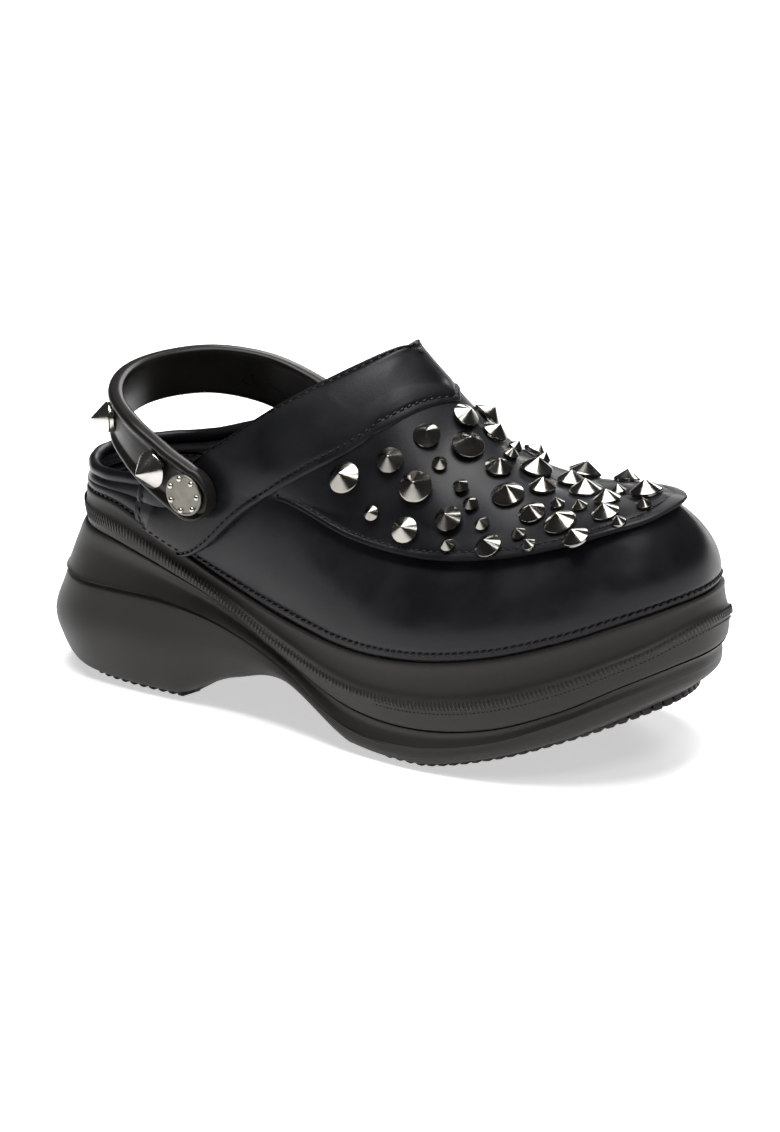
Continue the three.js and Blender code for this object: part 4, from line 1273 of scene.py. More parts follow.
    def _ribs(self) -> None:
        """Short slanted ribs along the ridge of the rim, all the way round."""
        station = np.linspace(0, ROUND, 1200)
        points, upper, lower = (
            self.side(station % ROUND, np.full(len(station), self.rib_ring + off))
            for off in (0, 0.7, -0.5)
        )
        ahead = unit(np.gradient(points, axis=0))
        outs = unit(np.cross(ahead, unit(upper - lower)))
        positions = walk(points, self.rib_pitch)
        mesh = bmesh.new()
        rows = self.shop.shape.row(np.interp(positions, np.arange(len(station)), station))
        lengths = mix(*self.rib_lengths, smoothstep((rows - 1) / 6))
        spots = self.shop.metres(along_path(points, positions))
        ways, normals = along_path(ahead, positions), along_path(outs, positions)
        for spot, way, normal, length in zip(spots, ways, normals, lengths):
            size = (self.rib_width / 2, length / 2, self.rib_height)
            lay(mesh, spot, way, normal, size, self.rib_slant, 6)
        self._dots(mesh)
        # Ribs and dots take the lighter foam, a painted highlight on the crest.
        self.shop.piece("rim_ribs", mesh, RIB_FOAM_PAINTED_HIGHLIGHT, Slot.FOAM, sharp=60)

    def _dots(self, mesh: Mesh) -> None:
        """Adds two rows of fine dots under the ribs of the forefoot.

        Args:
            mesh: Mesh that takes them.
        """
        station = np.linspace(self.dot_start, ROUND - self.dot_start, 900)
        for i, below in enumerate((0.62, 0.95)):
            points = self.side(station, np.full(len(station), self.rib_ring - below))
            positions = walk(points, self.rib_pitch)
            for spot in self.shop.metres(along_path(points, positions + i * 0.4)):
                place = Matrix.Translation(Vector(spot))
                bmesh.ops.create_icosphere(mesh, subdivisions=1, radius=self.dot * MM, matrix=place)


@dataclass
class Treads:
    """Contact pads under heel and forefoot, with lugs round their edges."""

    shop: Workshop
    inset: float = 1.2
    heel_end: float = 4.4
    fore_start: float = 7
    lug_pitch: float = 4.7
    lug_width: float = 3.9
    lug_length: float = 9
    lug_round: float = 0.9
    lug_slant: float = 0.25
    lug_reach: float = 0.93
    lug_set: float = 0.38
    groove_pitch: float = 9
    groove_depth: float = 1.6
    groove_wave: float = 2.2
    groove_turns: float = 2.5
    groove_share: float = 0.11
    strip: float = 0.13

    def build(self) -> None:
        """Both pads and their lugs."""
        for name, node, tip, reach in (
            ("heel_pad", "heel_tread", 0.0, self.heel_end),
            ("fore_pad", "fore_tread", float(LAST), LAST - self.fore_start),
        ):
            self._pad(name, node, tip, reach)

    def _pad(self, name: str, node: str, tip: float, reach: float) -> None:
        """One pad with its wavy grooves.

        Args:
            name: Name of the piece.
            node: The solid it stands for.
            tip: Station of its rounded end.
            reach: How many stations it runs from there.
        """
        shape, sizes = self.shop.shape, self.shop.sizes
        thick = sizes.tread - 0.05

        def edge(station: Points, share: Points) -> Points:
            """Edge of the pad, tapering to the floor.

            Args:
                station: Stations round the shoe.
                share: How far towards the floor, from 0 to 1.

            Returns:
                The points, in millimetres.
            """
            out = shape.column("foot", station) - self.inset * mix(1.0, 3.0, share)
            points = shape.floor(station, out, 0)
            points[:, 2] += thick * (1 - share)
            return points

        def under(u: Points, v: Points) -> Points:
            """The underside, from side to side, with its grooves.

            Args:
                u: Shares along the first direction.
                v: Shares along the second direction.

            Returns:
                The points, in millimetres.
            """
            ahead = tip + u * reach
            behind = (tip - u * reach) % ROUND
            rim = np.minimum(v, 1 - v) * 2
            share = smoothstep(rim * 12)
            points = mix(edge(ahead % ROUND, share), edge(behind, share), v[:, None])
            wave = points[:, 0] + self.groove_wave * np.cos(v * TAU * self.groove_turns)
            groove = np.exp(-((((wave / self.groove_pitch) % 1) - 0.5) / self.groove_share) ** 2)
            strip = smoothstep((np.abs(v - 0.5) - self.strip) * 14)
            points[:, 2] += groove * strip * self.groove_depth * share
            points[:, 2] += thick * share * smoothstep((u - self.lug_reach) / (1 - self.lug_reach))
            return points

        def top(u: Points, v: Points) -> Points:
            """The flat face under the sole."""
            sides = [edge((tip + way * u * reach) % ROUND, np.zeros(len(u))) for way in (1, -1)]
            return mix(*sides, v[:, None])

        mesh = self.shop.sheet(170, 90, under)
        join(mesh, self.shop.sheet(60, 4, top))
        self._lugs(mesh, tip, reach)
        self.shop.piece(name, mesh, RUBBER, Slot.TREAD, [node], sharp=35)

    def _lugs(self, mesh: Mesh, tip: float, reach: float) -> None:
        """Rounded lugs along the pad's edge, slanted towards the toe.

        Args:
            mesh: Mesh that takes them.
            tip: Station of the pad's rounded end.
            reach: How many stations the pad runs from there.
        """
        shape, sizes = self.shop.shape, self.shop.sizes
        reach = self.lug_reach * reach
        station = np.linspace(tip - reach, tip + reach, 500) % ROUND
        path = shape.floor(station, shape.column("foot", station) - self.inset, 0)
        outs = shape.outward(station)
        positions = walk(path, self.lug_pitch)
        size = (self.lug_length * MM, self.lug_width * MM, sizes.tread * MM)
        for spot, out in zip(along_path(path, positions), along_path(outs, positions)):
            away = Vector(out).normalized()
            slope = self._slope(spot[0])
            along = Vector((1, 0, slope)).normalized()
            up = Vector((-slope, 0, 1)).normalized()
            away = (away + along * self.lug_slant * math.copysign(1, away.y)).normalized()
            away = (away - up * away.dot(up)).normalized()
            turn = Matrix((away, up.cross(away), up)).transposed().to_4x4()
            centre = Vector(self.shop.metres(spot[None])[0]) + up * (size[2] / 2 + 0.15 * MM)
            centre -= away * size[0] * self.lug_set
            place = Matrix.Translation(centre) @ turn @ Matrix.Diagonal((*size, 1))
            made = bmesh.ops.create_cube(mesh, size=1, matrix=place)
            bmesh.ops.bevel(
                mesh,
                geom=list({e for v in made["verts"] for e in v.link_edges}),
                offset=self.lug_round * MM,
                segments=2,
                profile=0.5,
                affect="EDGES",
                material=-1,
            )

    def _slope(self, x: float) -> float:
        """Rise of the floor line at a distance along the shoe.

        Args:
            x: Distance along the shoe, in millimetres.

        Returns:
            The rise for each millimetre.
        """
        shape = self.shop.shape
        ends = shape.column("tread", shape.station_at(np.array([x - 2, x + 2])))
        return float(ends[1] - ends[0]) / 4


@dataclass
class Footbed:
    """Insole with a dished bed and a raised edge."""

    shop: Workshop
    thick: float = 4.5
    gap: float = 0.4
    dish: float = 1.6
    line: float = 0.17
    line_depth: float = 0.5

    def build(self) -> None:
        """The footbed."""
        shape, sizes = self.shop.shape, self.shop.sizes
        out = -sizes.wall - sizes.rim_ledge - sizes.clearance - self.gap

        def edge(station: Points, inset: Points, lift: Points) -> Points:
            """A point of the bed's rim."""
            height = shape.column("seam", station) - shape.column("bed", station)
            return shape.ring(station, out - inset, height + sizes.clearance + lift)

        def bed(u: Points, v: Points) -> Points:
            """The bed from side to side, its edge rolled over.

            Args:
                u: Shares along the first direction.
                v: Shares along the second direction.

            Returns:
                The points, in millimetres.
            """
            station = u * LAST
            rim = np.minimum(v, 1 - v) * 2
            roll = np.clip(rim * 14, 0, 1)
            lift = self.thick * np.sqrt(np.clip(1 - (1 - roll) ** 2, 0, 1))
            sides = [edge(s, 1.2 * roll, lift) for s in (station, (ROUND - station) % ROUND)]
            points = mix(*sides, v[:, None])
            points[:, 2] -= self.dish * smoothstep((rim - 0.1) * 1.6)
            points[:, 2] -= self.line_depth * np.exp(-(((rim - self.line) / 0.012) ** 2))
            return points

        def under(u: Points, v: Points) -> Points:
            """The flat underside."""
            return mix(edge(u * LAST, 0, 0), edge((ROUND - u * LAST) % ROUND, 0, 0), v[:, None])

        mesh = self.shop.sheet(220, 120, bed)
        join(mesh, self.shop.sheet(60, 4, under))
        self.shop.piece("footbed", mesh, FOOTBED, Slot.LINING, ["insole"], sharp=50)


class Knot(NamedTuple):
    """A point of a leather piece's section.

    anchor: share of the way from its lowest to its highest edge. inset: how far in from
    there, in millimetres, and lift: how far over the upper.
    """

    anchor: float
    inset: float
    lift: float


SEAM_KNOT = 9


def rolled_edge(thick: float, radius: float, seam: float, border: float) -> list[Knot]:
    """Section of a folded edge with a stitched seam beside it.

    Args:
        thick: Thickness of the piece.
        radius: Radius of the fold.
        seam: How far in the seam lies.
        border: How much the border outside the seam stands proud.

    Returns:
        The section's knots from the edge inwards. The seam lies at the one numbered SEAM_KNOT.
    """
    fold = [
        Knot(0, radius * (1 - math.cos(a)), thick + border - radius * (1 - math.sin(a)))
        for a in np.linspace(0, math.pi / 2, 5)
    ]
    dip = 0.55
    return [
        Knot(0, 0, 0.35),
        *fold,
        Knot(0, mix(radius, seam, 0.5), thick + border),
        Knot(0, seam - 0.8, thick + border * 0.9),
        Knot(0, seam - 0.35, thick - dip * 0.6),
        Knot(0, seam, thick - dip),
        Knot(0, seam + 0.4, thick - dip * 0.5),
        Knot(0, seam + 1.1, thick),
    ]


class Section(NamedTuple):
    """A piece's section.

    last: number of its last knot. seams: knots that the seams lie at. face: first and last
    knot of its open face. at: points for arrays of place along it and position among its knots.
    """

    last: int
    seams: tuple[float, ...]
    face: tuple[float, float]
    at: Surface


def lines_between(low: Points, high: Points, surface: Surface) -> Points:
    """Lengths over a surface from low to high places of it, one for each row."""
    lines = [surface(*mix(low, high, share)) for share in np.linspace(0, 1, 13)]
    return sum(np.linalg.norm(b - a, axis=1) for a, b in zip(lines, lines[1:]))


@dataclass
class Leather:
    """Shell, collar band, apron and rolled rim, with their stitched seams."""

    shop: Workshop
    band: float = 3.2
    band_rear: float = 3.5
    band_end: float = 7.6
    apron: float = 2.6
    apron_rear: float = 6.0
    apron_lip: float = 3.0
    lip_start: float = 0.25
    lip_rows: float = 2.5
    tuck: float = 0.07
    roll: float = 2.1
    steps: int = 16
    shell_rows: int = 80
    seam_level: float = 0.075
    channel: float = 0.5
    counter: float = 0.75
    soft_reach: float = 34
    soft_rounds: int = 30

    CREASES = (
        Crease((7.7, 1.75), (8.3, 1.3), 6.0, 0.9),
        Crease((7.2, 1.35), (7.9, 1.15), 7.0, 0.5),
        Crease((9.1, 1.8), (9.4, 1.45), 8.0, 0.4),
        Crease((17.8, 1.7), (17.2, 1.3), 6.0, 0.7),
        Crease((9.6, 0.45), (10.7, 0.35), 7.0, 0.6),
        Crease((7.6, 0.5), (8.7, 0.62), 8.0, 0.5),
        Crease((6.2, 0.55), (7.0, 0.4), 8.0, 0.5),
        Crease((11.0, 0.7), (12.0, 0.62), 6.0, 0.45),
        Crease((5.6, 1.6), (6.1, 1.35), 7.0, 0.6),
        Crease((15.6, 0.5), (16.8, 0.4), 7.0, 0.6),
    )

    def dress(self, station: Points, level: Points, lift: Points) -> Points:
        """Points over the upper, with the creases of the leather.

        Args:
            station: Stations round the shoe.
            level: Levels up the upper.
            lift: How far over the upper, in millimetres.

        Returns:
            The points, in millimetres.
        """
        shape = self.shop.shape
        station = np.mod(station, ROUND)
        points = shape.lifted(station, level, lift)
        return points - shape.normal(station, level) * sunk(station, level, self.CREASES)[:, None]

    def build(self) -> None:
        """All leather pieces."""
        self._shell()
        self._band()
        self._apron()
        self._roll()

    def _shell(self) -> None:
        """The upper's wall, lined inside."""
        shape, sizes = self.shop.shape, self.shop.sizes
        columns = ROUND * self.steps

        def outer(u: Points, v: Points) -> Points:
            """Outer face, full at the heel counter, with the channel of the bottom seam.

            Args:
                u: Shares along the first direction.
                v: Shares along the second direction.

            Returns:
                The points, in millimetres.
            """
            level = v * 2
            station = u * ROUND % ROUND
            channel = self.channel * np.exp(-(((level - self.seam_level) / 0.03) ** 2))
            heel = 1 - smoothstep((shape.row(station) - 2.5) / 1.5)
            counter = self.counter * heel * np.exp(-(((level - 1) / 0.5) ** 2))
            return self.dress(station, level, counter - channel)

        def lining(u: Points, v: Points) -> Points:
            """Inner face of soft lining, a little uneven.

            Args:
                u: Shares along the first direction.
                v: Shares along the second direction.

            Returns:
                The points, in millimetres.
            """
            station = u * ROUND % ROUND
            wave = 0.25 * np.sin(v * TAU * 3) * np.sin(u * TAU * 13) * smoothstep(v * 4)
            return shape.lifted(station, v * 2, wave - sizes.wall)

        def lower_rim(u: Points, v: Points) -> Points:
            """The wall's lower rim, resting on the sole.

            Args:
                u: Shares along the first direction.
                v: Shares along the second direction.

            Returns:
                The points, in millimetres.
            """
            points = shape.lifted(u * ROUND % ROUND, np.zeros(len(u)), -v * sizes.wall)
            points[:, 2] -= 2.5 * sizes.clearance * np.sin(np.pi * v)
            return points

        def upper_rim(u: Points, v: Points) -> Points:
            """The wall's upper rim round the heel."""
            return shape.lifted(mix(-RIDGE, RIDGE, u) % ROUND, np.full(len(u), 2.0), -v * sizes.wall)

        mesh = self.shop.sheet(columns, self.shell_rows, outer)
        inside = self.shop.sheet(columns, self.shell_rows, lining)
        for face in inside.faces:
            face.material_index = 1
        join(mesh, inside)
        join(mesh, self.shop.sheet(columns, 4, lower_rim))
        join(mesh, self.shop.sheet(2 * RIDGE * self.steps, 4, upper_rim))
        bmesh.ops.remove_doubles(mesh, verts=mesh.verts, dist=3e-6)
        self.shop.piece("shell", mesh, [LEATHER, LINING], Slot.LEATHER, ["upper"], sharp=50)
        self._bottom_seam()

    def _bottom_seam(self) -> None:
        """Stitches round the foot of the upper, over the band's two ends as well."""
        seam = bmesh.new()
        station = np.linspace(0, ROUND, 1600) % ROUND
        self._row(seam, station, self.seam_level, 0, Seam(3.0, 2.9, 1.15, 20))
        across = np.linspace(self.band_rear + 0.08, BAND[0].front, 90)
        for places in (across, ROUND - across):
            self._row(seam, places, self.seam_level + 0.05, self.band, Seam(3.0, 2.4, 0.95, 14))
        self.shop.piece("bottom_seam", seam, THREAD, Slot.LEATHER, sharp=60)

    def _row(self, mesh: Mesh, station: Points, level: float, lift: float, seam: Seam) -> None:
        """Sews one row round the upper.

        Args:
            mesh: Mesh that takes the stitches.
            station: Stations of the row.
            level: Its level.
            lift: How far over the upper it lies, in millimetres.
            seam: The stitch.
        """
        levels = np.full(len(station), level)
        points = self.dress(station, levels, np.full(len(station), lift))
        seam.sew(mesh, self.shop.metres(points), self.shop.shape.normal(np.mod(station, ROUND), levels))

    def _band_section(self) -> Section:
        """The band's section from its front edge to its rear edge and back underneath.

        Returns:
            The section, whose places run over the instep from side to side.
        """
        shape, sizes = self.shop.shape, self.shop.sizes
        low_edge = rolled_edge(self.band, 1.2, 2.5, 0.3)
        high_edge = [Knot(1, -k.inset, k.lift) for k in rolled_edge(self.band, 1.3, 2.9, 0.3)][::-1]
        middle = [Knot(t, 0, self.band) for t in np.linspace(0.25, 0.75, 11)]
        inside = ((0.4, 0.5), (2.6, 0.9), (5.6, 0.5), (6.2, -0.3))
        fold = [Knot(1, 0, -0.8), *[Knot(1, -inset, -sizes.wall - lift) for inset, lift in inside]]
        under = [Knot(t, 0, sizes.clearance) for t in np.linspace(0.85, 0, 7)]
        face_start, face_end = len(low_edge), len(low_edge) + len(middle) - 1
        high_seam = face_end + len(high_edge) - SEAM_KNOT
        table = np.array([*low_edge, *middle, *high_edge, *fold, *under, low_edge[0]], float)
        lines = np.array(BAND, float)
        rows = np.arange(len(BAND))
        front = smooth_line(lines[:, :2])
        corner = next(i for i, r in enumerate(BAND) if r.rear_level == 2)

        def across(t: Points, share: Points) -> tuple[Points, Points]:
            """Station and level across the band.

            Args:
                t: Places over the instep, from 0 at the side to 1 at the spine.
                share: Shares from the front edge to the rear edge.

            Returns:
                The stations and the levels.
            """
            place = t * (len(BAND) - 1)
            rear = np.stack([np.interp(place, rows, lines[:, k]) for k in (2, 3)], 1)
            station, level = mix(front(place), rear, share[:, None]).T
            return station, np.clip(level, 0.04, 2)

        def at(u: Points, position: Points) -> Points:
            """Points of the band.

            Args:
                u: Shares over the instep from side to side.
                position: Positions among its points.

            Returns:
                The points, in millimetres.
            """
            t = 1 - np.abs(2 * u - 1)
            turns, where = np.unique(np.round(t, 9), return_inverse=True)
            ends = (np.stack([turns, np.full(len(turns), share)]) for share in (0.0, 1.0))
            wide = lines_between(*ends, lambda turn, share: shape.upper(*across(turn, share)))[where]
            anchor, inset, lift = spread(table, position)
            station, level = across(t, np.clip(anchor + inset / wide, 0, 1))
            row = t * (len(BAND) - 1)
            open_edge = smoothstep((row - corner + 0.15) / 0.3)
            rear = 1 - smoothstep(row - 1)
            thin = np.where((anchor > 0.8) & (lift > sizes.clearance), rear, 0)
            lift = mix(lift, sizes.clearance + (np.minimum(lift, self.band) - sizes.clearance) * 0.5, thin)
            inner = lift < sizes.clearance
            lift = np.where(inner, mix(sizes.clearance, lift, open_edge), lift)
            return self.dress(np.where(u <= 0.5, station, ROUND - station), level, lift)

        return Section(len(table) - 1, (SEAM_KNOT, high_seam), (face_start, face_end), at)

    def _band(self) -> None:
        """The collar band over the instep, its borders folded and stitched."""
        section = self._band_section()
        last = section.last
        mesh = self.shop.sheet(320, last * 2, lambda u, v: section.at(u, v * last))
        close_ends(mesh)
        bmesh.ops.triangulate(mesh, faces=[f for f in mesh.faces if len(f.verts) > 4])
        self._soften(mesh, section)
        self.shop.piece("collar_band_leather", mesh, LEATHER, Slot.LEATHER, ["collar_band"], sharp=48)
        seam = bmesh.new()
        u = np.linspace(0.006, 0.994, 1400)
        for knot, stitch in zip(section.seams, (Seam(3.1, 2.5, 1.05, 14), Seam(3.3, 2.7, 1.15, 14))):
            self._follow(seam, section.at, u, knot, stitch)
        self.shop.piece("band_seams", seam, THREAD, Slot.LEATHER, sharp=60)

    def _soften(self, mesh: Mesh, section: Section) -> None:
        """Rounds the face of the band over the ridge, where topline and spine meet.

        Args:
            mesh: The band.
            section: Its section.
        """
        first, last = section.face
        ridge = Vector(self.shop.metres(self.shop.shape.top(np.array([float(RIDGE)])))[0])
        uv = mesh.loops.layers.uv.active
        near = set()
        for face in mesh.faces:
            if (face.calc_center_median() - ridge).length > self.soft_reach * MM:
                continue
            near |= {loop.vert for loop in face.loops if first < loop[uv].uv.y * section.last < last}
        for _ in range(self.soft_rounds):
            bmesh.ops.smooth_vert(
                mesh, verts=list(near), factor=0.5, use_axis_x=True, use_axis_y=True, use_axis_z=True
            )

    def _follow(self, mesh: Mesh, section: Surface, u: Points, knot: float, stitch: Seam) -> None:
        """Sews a row along one knot of a section.

        Args:
            mesh: Mesh that takes the stitches.
            section: Points of the leather piece.
            u: Places along it.
            knot: Position in its section.
            stitch: The stitch.
        """
        step = 0.4
        points = section(u, np.full(len(u), knot))
        before, after = (section(u, np.full(len(u), knot + side * step)) for side in (-1, 1))
        along = np.gradient(points, axis=0)
        stitch.sew(mesh, self.shop.metres(points), unit(np.cross(along, after - before)))

    def _apron_section(self) -> Section:
        """The apron's section from its cut edge to its highest level and back underneath.

        Returns:
            The section, whose places are stations.
        """
        shape, thick = self.shop.shape, self.apron
        cut = ((0.9, 0.32), (0.25, 0.2), (0, 0.6), (0, 1.4), (0, thick - 0.5))
        over = ((0.1, -0.12), (0.35, 0.05), (0.9, 0.08), (1.5, 0.05), (1.9, -0.2))
        border = [Knot(0, inset, thick + lift) for inset, lift in over]
        channel = [Knot(0, 2.2, thick - 0.3), Knot(0, 2.5, thick - 0.2), Knot(0, 3.3, thick)]
        edge = [*[Knot(0, *pair) for pair in cut], *border, *channel]
        face = [Knot(t, 0, thick) for t in np.linspace(0.16, 1, 22)]
        under = [Knot(t, 0, self.shop.sizes.clearance) for t in np.linspace(1, 0.1, 8)]
        table = np.array([*edge, *face, *under, edge[0]], float)

        def at(station: Points, position: Points) -> Points:
            """Points of the apron, its edge standing out further ahead.

            Args:
                station: Stations round the shoe.
                position: Positions among its knots.

            Returns:
                The points, in millimetres.
            """
            anchor, inset, lift = spread(table, position)
            stations, where = np.unique(np.round(station, 6), return_inverse=True)
            ends = (np.stack([stations, level]) for level in (np.ones(len(stations)), self._high(stations)))
            wide = np.maximum(lines_between(*ends, shape.upper)[where], 0.5)
            share = np.clip(anchor + inset / wide, 0, 1)
            level = mix(1, self._high(station), share)
            grown = smoothstep((shape.row(station) - self.apron_rear) / self.lip_rows)
            push = self.apron_lip * mix(self.lip_start, 1, grown) * np.clip(1 - share * 6, 0, 1)
            return self.dress(station, level, lift) + shape.outward(station) * push[:, None]

        seam = len(cut) + len(border)
        return Section(len(table) - 1, (seam,), (len(cut) + 0.5, len(edge) + len(face) - 1), at)

    def _high(self, station: Points) -> Points:
        """The apron's highest level, under the band's front edge or at the spine."""
        shape = self.shop.shape
        tucked = np.minimum(shape.band_front(station) + self.tuck, 2)
        return np.where(shape.row(station) < self.band_end, tucked, 2)

    def _apron(self) -> None:
        """The studded apron, its cut edge standing over the toe wall."""
        section = self._apron_section()
        last, rear = section.last, self.apron_rear
        reach = ROUND - 2 * rear
        columns = int(reach * self.steps)
        mesh = self.shop.sheet(columns, last * 2, lambda u, v: section.at(rear + u * reach, v * last))
        uv = mesh.loops.layers.uv.active
        for item in mesh.faces:
            share = sum(loop[uv].uv.y for loop in item.loops) / len(item.loops)
            item.material_index = int(share * last < section.face[0])
        self.shop.piece("apron_leather", mesh, [LEATHER, LEATHER_EDGE], Slot.LEATHER, ["apron"], sharp=48)
        seam = bmesh.new()
        station = np.linspace(rear + 0.25, ROUND - rear - 0.25, 1200)
        self._follow(seam, section.at, station, section.seams[0], Seam(2.9, 2.2, 0.85, 12))
        self.shop.piece("apron_seam", seam, THREAD, Slot.LEATHER, sharp=60)

    def _roll(self) -> None:
        """The rolled rim of the heel cup."""
        shape, sizes = self.shop.shape, self.shop.sizes
        reach = self.band_rear + 0.1

        def surface(u: Points, v: Points) -> Points:
            """The roll as a tube, a little pinched now and then.

            Args:
                u: Shares along the first direction.
                v: Shares along the second direction.

            Returns:
                The points, in millimetres.
            """
            station = np.mod(mix(-reach, reach, u), ROUND)
            edge = shape.lifted(station, np.full(len(u), 2.0), np.full(len(u), -sizes.wall / 2))
            edge[:, 2] += self.roll + sizes.clearance - 0.3
            angle = v * TAU
            pinch = 1 + 0.03 * np.sin(u * 61) + 0.02 * np.sin(u * 23 + 1)
            across = shape.outward(station) * (self.roll * 1.12 * pinch * np.cos(angle))[:, None]
            edge[:, 2] += self.roll * 1.1 * pinch * np.sin(angle)
            return edge + across

        mesh = self.shop.sheet(160, 24, surface)
        close_ends(mesh)
        self.shop.piece("collar_roll_leather", mesh, LEATHER, Slot.LEATHER, ["collar_roll"], sharp=60)


@dataclass
class HeelStrap:
    """Moulded strap with a bead along each border, its ends at the two rivets."""

    shop: Workshop
    thick: float = 4.6
    width: float = 21.5
    back_width: float = 18
    bead: float = 1.1
    bead_radius: float = 1.75
    columns: int = 260

    def _line(self) -> Points:
        """Control points of its middle line, from the frame's rivets and the table.

        Returns:
            The points, in millimetres.
        """
        sizes = self.shop.sizes
        middle = [
            (r.along * sizes.half_length, r.side * sizes.half_ball, sizes.heel_stack + r.rise * sizes.rise)
            for r in STRAP
        ]
        ends = []
        low, high = (self.shop.millimetres(c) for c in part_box("heel_strap"))
        for node, reach in (("rivet_lateral", low[1]), ("rivet_medial", high[1])):
            corners = self.shop.millimetres(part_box(node))
            centre = corners.mean(0)
            side = math.copysign(1, centre[1])
            ends.append(np.array([centre[0], reach - side * (self.thick / 2 + self.bead), centre[2]]))
        return np.array([ends[0], *middle, ends[1]])

    def _path(self, count: int) -> tuple[Points, Points, Points, Points]:
        """Even points along the strap's middle with their directions.

        Args:
            count: How many points.

        Returns:
            Points, outward directions, upward directions and the share along the strap.
        """
        line = self._line()
        spans = np.sqrt(np.linalg.norm(np.diff(line, axis=0), axis=1))
        knots = np.concatenate([[0], np.cumsum(spans)])
        fine = np.linspace(0, knots[-1], 3000)
        slopes = np.gradient(line, knots, axis=0)
        index = np.clip(np.searchsorted(knots, fine, side="right") - 1, 0, len(line) - 2)
        span = (knots[index + 1] - knots[index])[:, None]
        t = ((fine - knots[index])[:, None]) / span
        first, last = line[index], line[index + 1]
        points = (
            (2 * t**3 - 3 * t**2 + 1) * first
            + (t**3 - 2 * t**2 + t) * span * slopes[index]
            + (-2 * t**3 + 3 * t**2) * last
            + (t**3 - t**2) * span * slopes[index + 1]
        )
        half = self.width / 2
        for end, before in ((0, 12), (-1, -13)):
            way = points[end] - points[before]
            way[1] *= 0.15
            way = way / np.linalg.norm(way)
            steps = np.linspace(half / 40, half, 40)[:, None] * way
            extra = points[end] + steps
            points = np.vstack([extra[::-1], points]) if end == 0 else np.vstack([points, extra])
        lengths = steps_along(points)
        ends_eased = (1 - np.cos(np.linspace(0, math.pi, count))) / 2
        share = mix(np.linspace(0, 1, count), ends_eased, 0.35)
        spots = np.stack([np.interp(share * lengths[-1], lengths, points[:, k]) for k in range(3)], 1)
        along = unit(np.gradient(spots, share, axis=0))
        outs = unit(np.cross(np.array([0, 0, 1.0]), along))
        ups = unit(np.cross(along, outs))
        from_end = np.minimum(share, 1 - share) * lengths[-1] / half
        return spots, outs, ups, from_end

    def _profile(self, width: float) -> list[tuple[float, float]]:
        """Closed section: out from the middle face and up the width, with beaded borders.

        Args:
            width: Width of the strap there, in millimetres.

        Returns:
            Pairs of distance out and distance up.
        """
        half, edge, bead = self.thick / 2, width / 2, self.bead_radius
        centre = edge - bead
        top = [
            (half - 0.55 + bead * math.sin(a), centre + bead * math.cos(a))
            for a in np.linspace(math.pi * 0.62, 0, 7)
        ]
        outer = [
            (half - 0.15, centre - 2.6), (half - 0.25, centre - 3.6), (half - 0.1, centre * 0.4),
            (half, 0),
        ]
        back = [
            (-half * 0.2, edge), (-half * 0.65, edge - 0.35), (-half, edge - 1.3),
            (-half, centre * 0.5),
        ]
        upper = [*outer[::-1], *top, *back]
        return [*upper, *[(out, -up) for out, up in upper[::-1] if up != 0], upper[0]]

    def build(self) -> None:
        """The strap."""
        wide, narrow = (smooth_line(np.array(self._profile(w))) for w in (self.width, self.back_width))
        last = len(self._profile(self.width)) - 1
        spots, outs, ups, from_end = self._path(self.columns + 1)

        def surface(u: Points, v: Points) -> Points:
            """The strap, its ends rounded.

            Args:
                u: Shares along the first direction.
                v: Shares along the second direction.

            Returns:
                The points, in millimetres.
            """
            index = np.round(u * self.columns).astype(int)
            out, up = mix(wide(v * last), narrow(v * last), np.sin(np.pi * u)[:, None] ** 2).T
            round_end = np.sqrt(np.clip(1 - (1 - np.minimum(from_end[index], 1)) ** 2, 0, 1))
            return spots[index] + outs[index] * out[:, None] + ups[index] * (up * round_end)[:, None]

        mesh = self.shop.sheet(self.columns, last * 3, surface)
        close_ends(mesh)
        self.shop.piece("strap_foam", mesh, STRAP_FOAM, Slot.STRAP, ["heel_strap"], sharp=60)


class Cone(NamedTuple):
    """A spike's or stud's place in the frame."""

    base: Vector
    axis: Vector
    radius: float
    height: float


def cone_of(node: bpy.types.Object) -> Cone:
    """Reads where a turned solid stands.

    Args:
        node: The solid.

    Returns:
        The middle of its base, its axis, its largest radius and its height.
    """
    points = np.unique(np.round([v.co for v in node.data.vertices], 6), axis=0)
    centre = points.mean(0)
    _, sizes, ways = np.linalg.svd(points - centre)
    axis = ways[0] if sizes[0] - sizes[1] > sizes[1] - sizes[2] else ways[2]
    along = (points - centre) @ axis
    away = np.linalg.norm(points - centre - np.outer(along, axis), axis=1)
    close = 0.1 * MM
    if away[along > along.max() - close].max() > away[along < along.min() + close].max():
        axis, along = -axis, -along
    base = centre + axis * along.min()
    return Cone(Vector(base), Vector(axis), float(away.max()), float(np.ptp(along)))


def cone_side(radius: float, low: float, top: float) -> list[tuple[float, float]]:
    """Profile of a straight cone up to its fine blunt tip.

    Args:
        radius: Radius at its foot, in metres.
        low: Height of its foot.
        top: Height of its tip.

    Returns:
        Radius and height pairs, close together at both ends so that the side stays straight.
    """
    side = [(radius * k, mix(top, low, k)) for k in (1, 0.95, 0.5, 0.12, 0.06)]
    return [*side, (radius * 0.02, mix(top, low, 0.035)), (0, mix(top, low, 0.03))]


